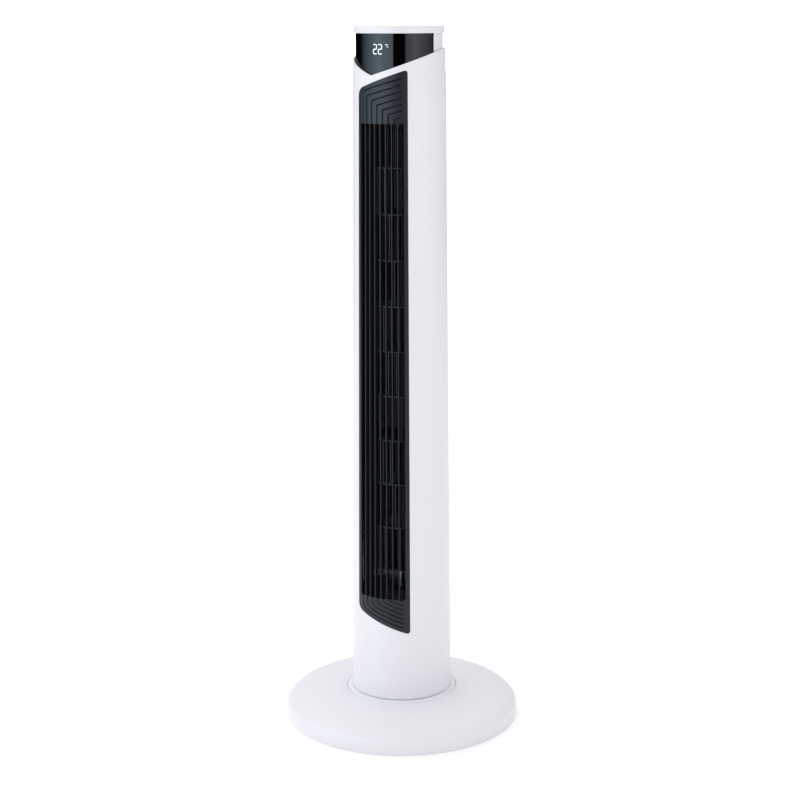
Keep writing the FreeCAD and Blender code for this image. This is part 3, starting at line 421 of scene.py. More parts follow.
def repeat_tree():
    """Copies of the incoming mesh, stepped round the Z axis and up it."""
    tree = bpy.data.node_groups.new("Repeat round and up", "GeometryNodeTree")
    sockets = (("Geometry", "NodeSocketGeometry"), ("Around", "NodeSocketInt"),
               ("Turn", "NodeSocketFloat"), ("First turn", "NodeSocketFloat"),
               ("Up", "NodeSocketInt"), ("Rise", "NodeSocketFloat"),
               ("Twist", "NodeSocketFloat"), ("Material", "NodeSocketMaterial"))
    for label, kind in sockets:
        tree.interface.new_socket(label, in_out="INPUT", socket_type=kind)
    tree.interface.new_socket("Geometry", in_out="OUTPUT", socket_type="NodeSocketGeometry")
    asked = add(tree, "NodeGroupInput").outputs

    def reckoned(kind, a, b, c=0.0):
        node = add(tree, "ShaderNodeMath", {"operation": kind}, **{"0": a, "1": b, "2": c})
        return node.outputs[0]

    index = add(tree, "GeometryNodeInputIndex").outputs[0]
    across = reckoned("MODULO", index, asked["Around"])
    up = reckoned("FLOOR", reckoned("DIVIDE", index, asked["Around"]), 0.0)
    turn = reckoned("MULTIPLY_ADD", across, asked["Turn"], asked["First turn"])
    turn = reckoned("MULTIPLY_ADD", up, asked["Twist"], turn)
    points = add(tree, "GeometryNodeMeshLine",
                 Count=reckoned("MULTIPLY", asked["Around"], asked["Up"]), Offset=(0, 0, 0))
    height = add(tree, "ShaderNodeCombineXYZ", Z=reckoned("MULTIPLY", up, asked["Rise"]))
    raised = add(tree, "GeometryNodeSetPosition", Geometry=points.outputs["Mesh"],
                 Offset=height.outputs[0])
    facing = add(tree, "ShaderNodeCombineXYZ", Z=turn)
    copies = add(tree, "GeometryNodeInstanceOnPoints", Points=raised.outputs[0],
                 Instance=asked["Geometry"], Rotation=facing.outputs[0])
    real = add(tree, "GeometryNodeRealizeInstances", Geometry=copies.outputs[0])
    painted = add(tree, "GeometryNodeSetMaterial", Geometry=real.outputs[0],
                  Material=asked["Material"])
    add(tree, "NodeGroupOutput", Geometry=painted.outputs[0])
    return tree


repeat = repeat_tree()


def repeated(piece, around=1, turn=0.0, first=0.0, up=1, rise=0.0, twist=0.0):
    """Set a piece round and up by the repeat tree; angles in degrees, rise in mm."""
    asked = {"Around": around, "Turn": math.radians(turn), "First turn": math.radians(first),
             "Up": up, "Rise": rise * MM, "Twist": math.radians(twist),
             "Material": piece.data.materials[0]}
    copies = piece.modifiers.new("Repeat", "NODES")
    copies.node_group = repeat
    for item in repeat.interface.items_tree:
        if item.in_out == "INPUT" and item.name in asked:
            copies[item.identifier] = asked[item.name]
    settled(piece)
    print(f"{piece.name}: {around * up} copies")
    return piece


# %% [markdown]
# ## Window outline
# The window in the front shell is a tall opening with slanting ends: its upper end rises to
# the right and its lower end falls to the right. The left corners are widely rounded and the
# right ones are tight. The shell and the grille need the same outline, so one function gives
# the level of either end at any place across, and the two pieces always fit.

# %% Window outline
window_angle = 35.2
window_top = cap_low - 56.7
window_foot = shell_low + 106.9
window_rise, window_fall = 0.358, 0.37
window_corner = {-1: 12.0, 1: 3.0}
slats_low = window_foot + 34.5
slats_top = cap_low - 112
slats_angle = 30.0
slat_pitch = 7.5


def window_edge(x, side, margin=0.3):
    """Level of the window's top (side 1) or lower (side -1) edge, x from its middle."""
    if side > 0:
        level, slope = window_top - margin, window_rise
    else:
        level, slope = window_foot + margin, -window_fall
    tilt = math.hypot(1, slope)
    half = column(level) * math.sin(math.radians(window_angle)) - margin
    for way, radius in window_corner.items():
        middle = way * (half - radius)
        touch = middle - side * slope * radius / tilt
        if way * (x - touch) > 0:
            rise = math.sqrt(max(radius ** 2 - (x - middle) ** 2, 0))
            return level + slope * middle - side * (radius * tilt - rise)
    return level + slope * x


print(f"window {window_foot:.1f} to {window_top:.1f} mm, slats {slats_low:.1f} to {slats_top:.1f} mm")

# %% [markdown]
# ## Front shell
# The front of the column is one shell with the window below and a slanting V at the top,
# which bares the display. Bevelling the CAD mesh pinches where the window's corners are
# tight, so this shell is laid out afresh as a regular sheet: one set of upright lines passes
# below and above the window, and every rim turns in over a small radius in three steps. The
# V is two plane cuts through the column, so each cut is a sine of the angle round it.

# %% Front shell
seam_angle = 105.0
shell_wall = 2.2
rim = 0.55
foot_gap = 0.6
rim_steps = [(rim, 0.0), (0.5 * rim, 0.13 * rim), (0.13 * rim, 0.5 * rim), (0.0, rim),
             (0.0, shell_wall)]
notch_turn = 26.0
notch = ((39.1, 0.344, notch_turn), (46.5, -0.372, -notch_turn))


def shell_edge(angle):
    """Level of the shell's top edge: two sloping cuts meet in a V, up to the plain rim."""
    cuts = []
    for drop, slope, turn in notch:
        across = column(cap_low - drop) * math.sin(math.radians(angle - turn))
        cuts.append(cap_low - drop + slope * across)
    return min(shell_top, max(cuts))


def shell_angles():
    """Upright lines of the shell: close together at the window's rounded corners and at the V."""
    half = math.sin(math.radians(window_angle))
    reach = {way: radius / column(window_foot) for way, radius in window_corner.items()}
    swing = [i / 10 for i in range(11)]
    sines = [-half + reach[-1] * (1 - math.cos(math.pi / 2 * t)) for t in swing]
    sines += [half - reach[1] * (1 - math.cos(math.pi / 2 * t)) for t in swing]
    inside = evenly(-half + reach[-1], half - reach[1], 0.02)[1:]
    point = min((a / 20 for a in range(-400, 0)), key=shell_edge)
    sines = sorted(sines + inside + [math.sin(math.radians(point))])
    window = [math.degrees(math.asin(max(-half, min(half, v)))) for v in sines]
    left = evenly(-seam_angle, -window_angle, 2.0)
    right = evenly(window_angle, seam_angle, 2.0)[1:] + [seam_angle]
    return left, window, right


def front_shell(name):
    """Sheet with an outer and an inner face, rounded rims and a window."""
    left, window, right = shell_angles()
    angles = left + window + right
    first, last = len(left), len(left) + len(window) - 1
    points, faces = [], []

    def point(angle, level, depth):
        points.append(spot(angle, level, column(level, depth)))
        return len(points) - 1

    def hole(angle, side, margin):
        """Angle and level on the window's rim, widened by a margin."""
        share = math.sin(math.radians(angle)) / math.sin(math.radians(window_angle))
        level = window_foot if side < 0 else window_top
        x = share * (column(level) * math.sin(math.radians(window_angle)) + margin)
        return math.degrees(math.asin(x / column(level))), window_edge(x, side, -margin)

    def strip(upper, lower):
        """Faces between two rows of points."""
        for a, b, c, d in zip(lower, lower[1:], upper[1:], upper):
            faces.append((a, b, c, d))

    rows = {}
    for depth in (0.0, shell_wall):
        spread = rim if depth == 0 else 0.0
        columns = []
        bottom = shell_low + foot_gap
        for i, angle in enumerate(angles):
            in_window = first <= i <= last
            nearest = angles[min(max(i, first), last)]
            turned, foot = hole(nearest, -1, spread)
            head = hole(nearest, 1, spread)[1]
            turned = turned if in_window else angle
            tip = shell_edge(angle) - spread
            levels = [bottom + spread, foot, head, tip]
            columns.append([point(turned if k in (1, 2) else angle, level, depth)
                            for k, level in enumerate(levels)])
        rows[depth] = list(zip(*columns))
        for k in range(3):
            for i in range(len(angles) - 1):
                if k == 1 and first <= i < last:
                    continue
                a, b = columns[i], columns[i + 1]
                faces.append((a[k], b[k], b[k + 1], a[k + 1]))
    # The lower and upper rims turn in from the outer face and join the inner one.
    back = rows[shell_wall]
    for edge, sign in ((0, 1), (3, -1)):
        ring = rows[0.0][edge]
        for spread, depth in rim_steps[1:-1]:
            base = [bottom if edge == 0 else shell_edge(angle) for angle in angles]
            following = [point(angle, level + sign * spread, depth)
                         for angle, level in zip(angles, base)]
            strip(following, ring)
            ring = following
        strip(back[edge], ring)
    # The window's rim does the same, as a closed loop.
    loop_of = {}
    for spread, depth in rim_steps:
        loop = [point(*hole(angle, -1, spread), depth) for angle in window]
        loop += [point(*hole(angle, 1, spread), depth) for angle in reversed(window)]
        loop_of[(spread, depth)] = loop
    for a, b in zip(rim_steps, rim_steps[1:]):
        one, two = loop_of[a], loop_of[b]
        strip(two + two[:1], one + one[:1])
    # Walls close the two upright seams.
    for i in (0, len(angles) - 1):
        for k in range(3):
            faces.append((rows[0.0][k][i], rows[0.0][k + 1][i], back[k + 1][i], back[k][i]))
    return built(name, points, faces, white_abs, crease=42)


fitted(front_shell("front_shell"), "tower", "front_housing", slot="white_shell")

# %% [markdown]
# ## Grooves of the outlet grille
# The grille is one black moulding that fills the window. Above and below the slats it is a
# closed panel with thin grooves: above, each groove rises from the gap between two slats and
# bends to the right, and below, each one sinks from its gap and curves along the lower edge.
# Each groove is kept as a path, and the distance from the nearest path becomes a depth with
# soft shoulders.

# %% Groove pattern
groove_width = 1.7
groove_depth = 1.5
groove_count = 7
groove_end = math.radians(27.6)
chevron_bend, chevron_bend_step = 40.4, 5.75
chevron_end, chevron_end_step = 56.6, 7.95
lower_first, lower_step, lower_bend = 6.0, 5.9, 9.0


def gap_turn(k):
    """Angle, in radians, of the gap beside slat k that a groove starts from."""
    return math.radians((k - groove_count / 2) * slat_pitch)


def chevron(k):
    """Groove that rises from a gap and bends to the right: its start, corner and end."""
    radius = column(slats_top)
    start = Vector((radius * gap_turn(k), slats_top - 1))
    corner = Vector((radius * gap_turn(k), slats_top + chevron_bend - chevron_bend_step * k))
    end = Vector((radius * groove_end, slats_top + chevron_end - chevron_end_step * k))
    return start, corner, end


chevrons = [chevron(k) for k in range(groove_count)]


def from_line(point, a, b):
    """Distance of a point from the line between a and b."""
    along = b - a
    share = max(0.0, min(1.0, (point - a).dot(along) / along.length_squared))
    return (point - a - along * share).length


def groove(distance):
    """Depth of a groove with soft shoulders, at a distance from its middle."""
    share = min(distance / (groove_width / 2), 1)
    return groove_depth * (0.5 + 0.5 * math.cos(math.pi * share ** 1.6))


def upper_relief(angle, level):
    """Depth of the bent grooves at a place on the upper panel."""
    point = Vector((column(slats_top) * math.radians(angle), level))
    nearest = min(min(from_line(point, a, b), from_line(point, b, c)) for a, b, c in chevrons)
    return groove(nearest)


def lower_path(k):
    """Groove that drops from a gap between slats and bends to run beside the lower edge."""
    radius = column(window_foot)
    x = radius * gap_turn(k)
    far = radius * groove_end
    rise = (lower_first + lower_step * k) * math.hypot(1, window_fall)
    level_at = {place: window_foot - window_fall * place + rise for place in (x, far)}
    start = max(slats_low + 1, level_at[x] + 0.5)
    return rounded([(x, start, 0), (x, level_at[x], lower_bend), (far, level_at[far], 0)],
                   steps=6)


lower_paths = [lower_path(k) for k in range(groove_count)]


def lower_relief(angle, level):
    """Depth of the curved grooves at a place on the lower panel."""
    point = Vector((column(window_foot) * math.radians(angle), level))
    nearest = min(from_line(point, a, b) for path in lower_paths for a, b in zip(path, path[1:]))
    return groove(nearest)


print(len(chevrons), "bent grooves above and", len(lower_paths), "curved grooves below")

# %% [markdown]
# ## Grille panel
# A grooved panel could be cut with booleans, but long thin cuts leave ragged meshes. Here it
# is a fine sheet wrapped on the column, with points about half a millimetre apart, and each
# point is pushed in by the depth of the nearest groove. The place of the slats is left out of
# the sheet, and walls close every open edge.

# %% Grille panel
panel_fit = 0.3
panel_inset, panel_back = 0.5, 2.6
panel_grain = 0.52
lower_rows, upper_rows = 84, 126


def grille_panel(name):
    """Sheet with relief on the outside, a plain inner face and walls between them."""
    widest = math.sin(math.radians(window_angle)) - panel_fit / column(window_top)
    edge = math.degrees(math.asin(widest))
    angles = [-edge, -edge + 0.05, -edge + 0.15, -edge + 0.3]
    angles += evenly(-edge + 0.5, -slats_angle, panel_grain)
    angles += evenly(-slats_angle, slats_angle, panel_grain)
    angles += evenly(slats_angle, edge - 0.3, panel_grain)
    angles += [edge - 0.3, edge - 0.12, edge]
    outer, inner, faces = [], [], []
    for angle in angles:
        foot = window_edge(column(window_foot) * math.sin(math.radians(angle)), -1)
        head = window_edge(column(window_top) * math.sin(math.radians(angle)), 1)
        levels = [foot + (slats_low - foot) * i / lower_rows for i in range(lower_rows + 1)]
        levels += [slats_top + (head - slats_top) * i / upper_rows for i in range(upper_rows + 1)]
        for row, level in enumerate(levels):
            relief = lower_relief(angle, level) if row < lower_rows else 0.0
            relief = upper_relief(angle, level) if row > lower_rows + 1 else relief
            outer.append(spot(angle, level, column(level, panel_inset + relief)))
            inner.append(spot(angle, level, column(level, panel_back)))
    rows = lower_rows + upper_rows + 2
    for i in range(len(angles) - 1):
        for row in range(rows - 1):
            widest = max(abs(angles[i]), abs(angles[i + 1]))
            if row == lower_rows and widest < slats_angle + 0.01:
                continue
            a = i * rows + row
            faces.append((a, a + rows, a + rows + 1, a + 1))
    used = {}
    for face in faces:
        for a, b in zip(face, face[1:] + face[:1]):
            used[frozenset((a, b))] = used.get(frozenset((a, b)), 0) + 1
    shift = len(outer)
    walls = [(b, a, a + shift, b + shift) for face in faces
             for a, b in zip(face, face[1:] + face[:1]) if used[frozenset((a, b))] == 1]
    backs = [tuple(v + shift for v in reversed(face)) for face in faces]
    return built(name, outer + inner, faces + backs + walls, grille_abs, crease=50)


fitted(grille_panel("grille_panel"), "tower", "front_grille", slot="grille_black")

# %% [markdown]
# ## Slats
# The slats are thin upright blades with a rounded nose. One is drawn as a profile at its
# foot and at its head, leaning with the column, and the repeat tree sets the rest.

# %% Slats
slat_count = 7
slat_half = 0.75
slat_nose, slat_tail = 0.8, 7.5
slat_overlap = 1.5


def upright(name, profile_at, low_level, high_level, material):
    """Bar between two levels; profile_at gives the same outline at either level."""
    foot, head = profile_at(low_level), profile_at(high_level)
    n = len(foot)
    points = [(x, y, low_level) for x, y in foot] + [(x, y, high_level) for x, y in head]
    faces = [(i, (i + 1) % n, (i + 1) % n + n, i + n) for i in range(n)]
    faces += [tuple(reversed(range(n))), tuple(range(n, 2 * n))]
    return built(name, points, faces, material, crease=50)


def slat_profile(level):
    """Outline of a slat at a level, from its round nose to its tail."""
    nose, tail = -column(level, slat_nose), -column(level, slat_tail)
    return rounded([(-slat_half, nose, 0.7), (slat_half, nose, 0.7), (slat_half, tail, 0.3),
                    (-slat_half, tail, 0.3)], steps=4)


slats = upright("grille_slats", slat_profile, slats_low - slat_overlap, slats_top + slat_overlap,
                grille_abs)
repeated(slats, around=slat_count, turn=slat_pitch, first=-(slat_count // 2) * slat_pitch)
fitted(slats, "tower", "front_grille", slot="grille_black")

# %% [markdown]
# ## Impeller
# Behind the slats turns a long drum of curved blades, moulded in ten short sections that are
# welded end to end. A thin ring joins the blades at each weld, and each section is turned a
# little against the last so that the blades do not pass the tongue all at once. One blade
# and one ring are drawn, and the repeat tree fills the drum.

# %% Impeller drum
end_boss = 4
drum_low, drum_high = low("impeller").z + end_boss, high("impeller").z
drum_radius = high("impeller").x
sections = 10
blade_count = 24
section_twist = 6
ring_depth, ring_height = 10.5, 2
section = (drum_high - drum_low) / sections


def blade_profile(level):
    """Thin crescent from the inner to the outer radius of the drum."""
    near, far = [], []
    for i in range(6):
        share = i / 5
        radius = drum_radius - 9.4 + 9.0 * share
        swing = math.radians(15 * share * (1.6 - share))
        thick = math.radians(0.75 + 0.45 * math.sin(math.pi * share))
        near.append((radius * math.sin(swing - thick), -radius * math.cos(swing - thick)))
        far.append((radius * math.sin(swing + thick), -radius * math.cos(swing + thick)))
    return near + far[::-1]


blades = upright("impeller_blades", blade_profile, drum_low + 1, drum_low + section + 0.2,
                 impeller_plastic)
repeated(blades, around=blade_count, turn=360 / blade_count, up=sections, rise=section,
         twist=section_twist)
fitted(blades, "impeller", "impeller", slot="duct_black")

ring_outline = rounded([
    (drum_radius - ring_depth, drum_low, 0.3), (drum_radius, drum_low, 0.6),
    (drum_radius, drum_low + ring_height, 0.6),
    (drum_radius - ring_depth, drum_low + ring_height, 0.3)], steps=2)
rings = lathe("impeller_rings", ring_outline, impeller_plastic, segments=96)
repeated(rings, up=sections + 1, rise=(drum_high - drum_low - ring_height) / sections)
fitted(rings, "impeller", "impeller", slot="duct_black")

disc_radius = drum_radius - 10
ends = lathe("impeller_ends", rounded([
    (0, drum_low - end_boss, 0), (9, drum_low - end_boss, 0.5), (9, drum_low, 0.5),
    (disc_radius, drum_low, 0), (disc_radius, drum_low + 3, 0), (0, drum_low + 3, 0)], steps=2),
    impeller_plastic, segments=96)
fitted(ends, "impeller", "impeller", slot="duct_black")
collar = lathe("impeller_collar", rounded([
    (0, drum_high - 11, 0), (12, drum_high - 11, 1), (13, drum_high - 3, 1),
    (disc_radius, drum_high - 3, 0), (disc_radius, drum_high, 0), (0, drum_high, 0)], steps=3),
    acetal, segments=96)
fitted(collar, "impeller", "impeller", slot="acetal")

# %% [markdown]
# ## Shade sheet
# Behind the inlet slots of the rear shell lies a dark sheet, finished like woven black nylon. It is
# painted shade: it blocks the light from behind, so the inside of the fan looks dark from the front.

# %% Shade sheet
# Painted shade for the inside of the fan: a weave of fine threads, dull, and dark in its holes.
shade_sheet_cloth = finish_of("Dark sheet for painted shade", "#1b1c1e", "#0d0e0f", 0.5, (0.7, 0.85), bump=0.05)
shade_sheet_first, shade_sheet_step, shade_sheet_lines = 132, 4, 25
shade_sheet_front, shade_sheet_back = 2.45, 2.75
shade_sheet_margin = 6


def shade_sheet(name):
    """Thin dark sheet bent behind the inlet slots: painted shade for the inside of the fan."""
    points, faces = [], []
    angles = [shade_sheet_first + shade_sheet_step * i for i in range(shade_sheet_lines)]
    levels = (drum_low - shade_sheet_margin, drum_high + shade_sheet_margin)
    for angle in angles:
        points += [spot(angle, level, column(level, depth))
                   for depth in (shade_sheet_front, shade_sheet_back) for level in levels]
    for i in range(len(angles) - 1):
        for a, b in ((0, 1), (1, 3), (3, 2), (2, 0)):
            faces.append((4 * i + a, 4 * i + b, 4 * i + 4 + b, 4 * i + 4 + a))
    last = 4 * (len(angles) - 1)
    faces += [(0, 1, 3, 2), (last, last + 1, last + 3, last + 2)]
    return built(name, points, faces, shade_sheet_cloth)


# Painted shade: this dark sheet keeps the inside of the fan dark from the front.
fitted(shade_sheet("painted_shade_sheet"), "tower", slot="duct_black")

# %% [markdown]
# ## Lit temperature
# The display shows two figures and a degree sign in white segments behind the dark strip.
# Each stroke is a path with rounded corners, given a round bevel, turned into a mesh, then
# pressed almost flat and bent round the neck. It gives light of its own.

# %% Display figures
# Light through a milky segment: even, cool white, a little uneven from end to end.
lamp_white = bpy.data.materials.new("White LED segment")
lamp_white.use_nodes = True
lamp_tree = lamp_white.node_tree
lamp_shader = lamp_tree.nodes["Principled BSDF"]
lamp_shader.inputs["Base Color"].default_value = linear("#dfeaf0")
lamp_shader.inputs["Emission Color"].default_value = linear("#e4f3fb")
lamp_place = add(lamp_tree, "ShaderNodeTexCoord")
lamp_drift = add(lamp_tree, "ShaderNodeTexNoise", Vector=lamp_place.outputs["Object"],
                 Scale=1 / (2.5 * MM))
lamp_glow = add(lamp_tree, "ShaderNodeMapRange", Value=lamp_drift.outputs["Fac"],
                **{"3": 0.85, "4": 1.1})
lamp_tree.links.new(lamp_glow.outputs["Result"], lamp_shader.inputs["Emission Strength"])

# Strokes in millimetres. Angles are round the neck and drops are down from the cap.
figure_width, figure_height, figure_stroke = 4.7, 11.6, 0.95
figure_angles, figure_drop = (-10.4, -3.0), 25.2
ring_angle, ring_drop, ring_radius, ring_stroke = 7.2, 13.8, 0.5, 0.35
letter_angle, letter_drop, letter_stroke = 9.0, 16.8, 0.45


def stroke_mesh(paths, width, closed=False):
    """Mesh of round strokes along flat paths, in millimetres, lying in X and Y."""
    curve = bpy.data.curves.new("stroke", "CURVE")
    curve.dimensions = "3D"
    curve.bevel_depth = width / 2
    curve.bevel_resolution = 2
    curve.use_fill_caps = True
    for path in paths:
        spline = curve.splines.new("POLY")
        spline.points.add(len(path) - 1)
        for point, place in zip(spline.points, path):
            point.co = (place[0], place[1], 0, 1)
        spline.use_cyclic_u = closed
    holder = new_object("stroke", curve)
    flat = settled(holder)
    mesh = flat.data
    bpy.data.objects.remove(flat)
    return mesh


def figure_two(width, height, bend=1.5):
    """Path of a figure 2 on a seven-segment display."""
    return rounded([(0, height, 0), (width, height, bend), (width, height / 2, bend),
                    (0, height / 2, bend), (0, 0, bend), (width, 0, 0)], steps=4)


def letter_c(width, height):
    """Path of a letter C with round corners."""
    return rounded([(width, height, 0), (0, height, 0.9), (0, 0, 0.9), (width, 0, 0)], steps=4)


def circle(radius, x=0.0, y=0.0, start=0.0, stop=360.0, count=20):
    """Path of a circle or of an arc between two angles in degrees."""
    turns = [math.radians(start + (stop - start) * i / count) for i in range(count + 1)]
    return [(x + radius * math.cos(turn), y + radius * math.sin(turn)) for turn in turns]


def on_neck(mesh, angle, level):
    """Press a flat mesh thin and bend it round the neck, from an angle and a level."""
    for vertex in mesh.vertices:
        x, y, h = vertex.co
        turned = angle + math.degrees(x / neck_radius)
        vertex.co = spot(turned, level + y, neck_radius + 0.02 + 0.12 * h) * MM
    return mesh


def figures(name):
    """The two figures, the degree ring and the letter, as one mesh."""
    two = figure_two(figure_width, figure_height)
    parts = [(two, figure_stroke, angle, figure_drop) for angle in figure_angles]
    parts.append((circle(ring_radius), ring_stroke, ring_angle, ring_drop))
    parts.append((letter_c(1.9, 3.2), letter_stroke, letter_angle, letter_drop))
    bm = bmesh.new()
    for path, stroke, angle, drop in parts:
        bm.from_mesh(on_neck(stroke_mesh([path], stroke), angle, cap_low - drop))
    mesh = bpy.data.meshes.new(name)
    bm.to_mesh(mesh)
    bm.free()
    return new_object(name, tidy(mesh, merge=0.0005), lamp_white)


fitted(figures("display_figures"), "tower")

# %% [markdown]
# ## Buttons
# Four round keys sit in the cap. Each is softened like the shells and carries a printed
# mark: a power sign, bars for speed, a two-way arrow for the swing and a clock for the
# timer. The marks are flat strokes that ride on their own key, so they sink with it.

# %% Buttons and marks
# A thin printed film: flat grey, duller than the key under it.
ink = finish_of("Pad printed grey ink", "#5f6268", "#585b61", 0.8, (0.5, 0.6))
marks = {
    "power": [circle(2.4, 0, -0.3, 125, 415), [(0, 0.4), (0, 2.9)]],
    "speed": [[(-2.4, -2), (-2.4, -0.8)], [(-0.8, -2), (-0.8, 0.3)], [(0.8, -2), (0.8, 1.4)],
              [(2.4, -2), (2.4, 2.5)]],
    "swing": [circle(3.2, 0, -2.2, 35, 145), [(-3.2, 0.6), (-2.62, -0.36), (-1.6, 0.1)],
              [(3.2, 0.6), (2.62, -0.36), (1.6, 0.1)]],
    "timer": [circle(2.6), [(0, 1.6), (0, 0), (1.3, 0)]],
}
for word, paths in marks.items():
    node = f"{word}_button"
    softened(f"{word}_key", node, 0.5, body=node, material=button_plastic)
    middle = (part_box(node)[0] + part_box(node)[1]) / 2 / MM
    mesh = stroke_mesh(paths, 0.5)
    for vertex in mesh.vertices:
        x, y, h = vertex.co
        vertex.co = Vector((middle.x + x, middle.y + y, high(node).z + 0.01 + 0.1 * h)) * MM
    fitted(new_object(f"{word}_mark", tidy(mesh, merge=0.0005), ink), node)

# %% [markdown]
# ## Floor
# A pale floor fills most of the picture, because the camera looks slightly down. White paint
# alone would come out a little grey under this sky, so it also gives a trace of light.

# %% Floor
floor_half = 30
floor_corners = [(-floor_half, -floor_half, 0), (floor_half, -floor_half, 0),
                 (floor_half, floor_half, 0), (-floor_half, floor_half, 0)]
floor_mesh = bpy.data.meshes.new("floor")
floor_mesh.from_pydata(floor_corners, [], [(0, 1, 2, 3)])
# Chalky paint: no highlight to speak of, so shadows on it stay soft and clean.
floor_paint = finish_of("Matt white floor paint", "#fdfdfd", "#fcfcfc", 40.0, (0.85, 0.95),
                        Specular_IOR_Level=0.1, Emission_Color=linear("#ffffff"),
                        Emission_Strength=0.06)
new_object("studio_floor", floor_mesh, floor_paint)
print("floor", 2 * floor_half, "m wide")

# %% [markdown]
# ## Backdrop
# Beyond the floor stands a ring of lit white paper. Only the camera sees it, so it makes the
# picture white behind the fan and adds no light to it.

# %% Backdrop
paper_radius, paper_low, paper_high = 26000, -1000, 26000
paper_step = 15


def backdrop():
    """Plain white paper far behind the fan that only the camera sees."""
    paper = bpy.data.materials.new("Lit white paper")
    paper.use_nodes = True
    shader = paper.node_tree.nodes["Principled BSDF"]
    shader.inputs["Base Color"].default_value = linear("#ffffff")
    shader.inputs["Emission Color"].default_value = linear("#ffffff")
    shader.inputs["Emission Strength"].default_value = 1.2
    corners = [spot(turn, level, paper_radius) * MM for turn in range(0, 360, paper_step)
               for level in (paper_low, paper_high)]
    count = len(corners)
    faces = [(i, i + 1, (i + 3) % count, (i + 2) % count) for i in range(0, count, 2)]
    mesh = bpy.data.meshes.new("backdrop")
    mesh.from_pydata(corners, [], faces)
    sheet = new_object("backdrop", mesh, paper)
    sheet.visible_diffuse = sheet.visible_glossy = False
    sheet.visible_shadow = sheet.visible_transmission = False
    print(len(faces), "sheets of paper")


backdrop()

# %% [markdown]
# ## Sky
# Light from the whole sky keeps shadows faint. It grows steadily towards the left and above,
# which gives the column its gentle roundness without any hard lamp: one dot product with the
# brightest direction says how strong the sky is in every other.

# %% Sky
sky_brightest = spot(-105, 0.55, 0.835)
sky_weakest, sky_strongest = 0.56, 1.34
world = bpy.data.worlds.new("White sky, brighter above and to the left")
world.use_nodes = True
sky = world.node_tree
heading = add(sky, "ShaderNodeTexCoord")
towards = add(sky, "ShaderNodeVectorMath", {"operation": "DOT_PRODUCT"},
              **{"0": heading.outputs["Generated"], "1": tuple(sky_brightest)})
sky_level = add(sky, "ShaderNodeMapRange", Value=towards.outputs["Value"],
                **{"1": -1.0, "2": 1.0, "3": sky_weakest, "4": sky_strongest})
sky.links.new(sky_level.outputs["Result"], sky.nodes["Background"].inputs["Strength"])
sky.nodes["Background"].inputs["Color"].default_value = linear("#fefeff")
bpy.context.scene.world = world
bpy.context.scene.view_settings.view_transform = "Standard"
print("sky from", sky_weakest, "to", sky_strongest)

# %% [markdown]
# ## Rear lamp
# One weak soft lamp behind the fan lifts the rim of the base and the far side of the column
# off the floor. Neither the camera nor a reflection shows the lamp itself.

# %% Rear lamp


def soft_lamp(name, azimuth, distance, level, size, power):
    """Square area lamp round the fan that faces the middle of the column, sizes in metres."""
    lamp = bpy.data.lights.new(name, "AREA")
    lamp.shape = "RECTANGLE"
    lamp.size = lamp.size_y = size
    lamp.energy = power
    stand = bpy.data.objects.new(name, lamp)
    stand.location = spot(azimuth, level, distance)
    facing = Vector((0, 0, 0.5)) - stand.location
    stand.rotation_euler = facing.to_track_quat("-Z", "Y").to_euler()
    stand.visible_camera = stand.visible_glossy = False
    bpy.context.scene.collection.objects.link(stand)
    print(name, power, "W")


soft_lamp("rear_softbox", azimuth=-140, distance=1.6, level=2.6, size=1.4, power=4)

# %% [markdown]
# ## What the display mirrors
# The polished display shows the room as upright bands: a cool one, a black gap and a warmer
# one. A tall screen stands round the fan, which only mirrors see. A colour ramp read by the
# angle round the fan says how bright the screen is at each place, so that the bands have soft
# outer ends and crisp edges at the gap.

# %% Reflected band
screen_radius, screen_height, screen_sides = 3300, 2600, 180
# Angle from the front in degrees, colour, and how strongly it shines.
screen_tones = [
    (-180, "#000000", 0), (-97, "#000000", 0), (-88, "#5f6a74", 0.5), (-30, "#a8bccb", 2.9),
    (8.5, "#a9b4c2", 2.0), (9, "#000000", 0), (40.5, "#000000", 0), (41, "#a5a4ae", 1.35),
    (66, "#b4b3bb", 1.9), (100, "#a3a2a8", 1.2), (135, "#5a5a5e", 0.3), (150, "#000000", 0),
    (180, "#000000", 0)]


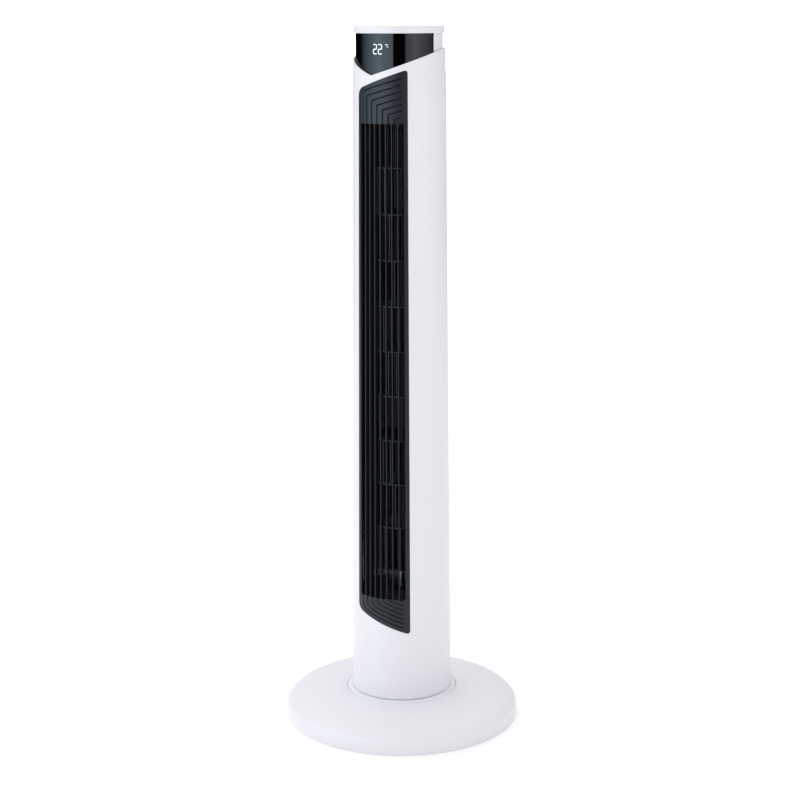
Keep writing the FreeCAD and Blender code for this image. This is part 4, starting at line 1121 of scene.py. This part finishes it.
def screen_light():
    """Glow that changes with the angle round the Z axis."""
    paint = bpy.data.materials.new("Reflected light band")
    paint.use_nodes = True
    tree = paint.node_tree
    tree.nodes.clear()
    place = add(tree, "ShaderNodeTexCoord")
    axes = add(tree, "ShaderNodeSeparateXYZ", Vector=place.outputs["Object"])
    turned = add(tree, "ShaderNodeMath", {"operation": "MULTIPLY"},
                 **{"0": axes.outputs["Y"], "1": -1.0})
    around = add(tree, "ShaderNodeMath", {"operation": "ARCTAN2"},
                 **{"0": axes.outputs["X"], "1": turned.outputs[0]})
    share = add(tree, "ShaderNodeMapRange", Value=around.outputs[0],
                **{"1": -math.pi, "2": math.pi})
    ramp = add(tree, "ShaderNodeValToRGB", **{"0": share.outputs["Result"]})
    stops = ramp.color_ramp.elements
    while len(stops) < len(screen_tones):
        stops.new(0.5)
    for stop, (azimuth, code, power) in zip(stops, screen_tones):
        stop.position = (azimuth + 180) / 360
        stop.color = [c * power for c in linear(code)[:3]] + [1.0]
    light = add(tree, "ShaderNodeEmission", Color=ramp.outputs["Color"], Strength=2.0)
    add(tree, "ShaderNodeOutputMaterial", Surface=light.outputs[0])
    return paint


def reflected_band():
    """Screen round the fan that only mirrors see."""
    count = 2 * screen_sides
    points = [spot(360 * i / screen_sides, level, screen_radius) * MM
              for i in range(screen_sides) for level in (0, screen_height)]
    faces = [(i, i + 1, (i + 3) % count, (i + 2) % count) for i in range(0, count, 2)]
    mesh = bpy.data.meshes.new("reflected_band")
    mesh.from_pydata(points, [], faces)
    band = new_object("reflected_band", mesh, screen_light())
    band.visible_camera = band.visible_diffuse = False
    band.visible_shadow = band.visible_transmission = False
    print("screen with", len(screen_tones), "tones")


reflected_band()

# %% [markdown]
# ## Camera
# The fan is seen from the front and a little to its right, from about the height of its top
# and with a long lens, so that the column hardly narrows. The camera looks down at the middle
# of the fan.

# %% Camera
view_azimuth = 25.0
camera_distance = 2.2994
camera_height = 0.9515
camera_pitch = 12.535
camera_roll = -0.226
camera_data = bpy.data.cameras.new("front_camera")
camera_data.sensor_width = 36
camera_data.lens = 79.27
camera_data.shift_x = -0.00076
camera = bpy.data.objects.new("front_camera", camera_data)
camera.location = spot(view_azimuth, camera_height, camera_distance)
camera.rotation_euler = (Matrix.Rotation(math.radians(view_azimuth), 3, "Z")
                         @ Matrix.Rotation(math.radians(90 - camera_pitch), 3, "X")
                         @ Matrix.Rotation(math.radians(camera_roll), 3, "Z")).to_euler()
bpy.context.scene.collection.objects.link(camera)
bpy.context.scene.camera = camera
print("camera", tuple(round(v, 3) for v in camera.location))
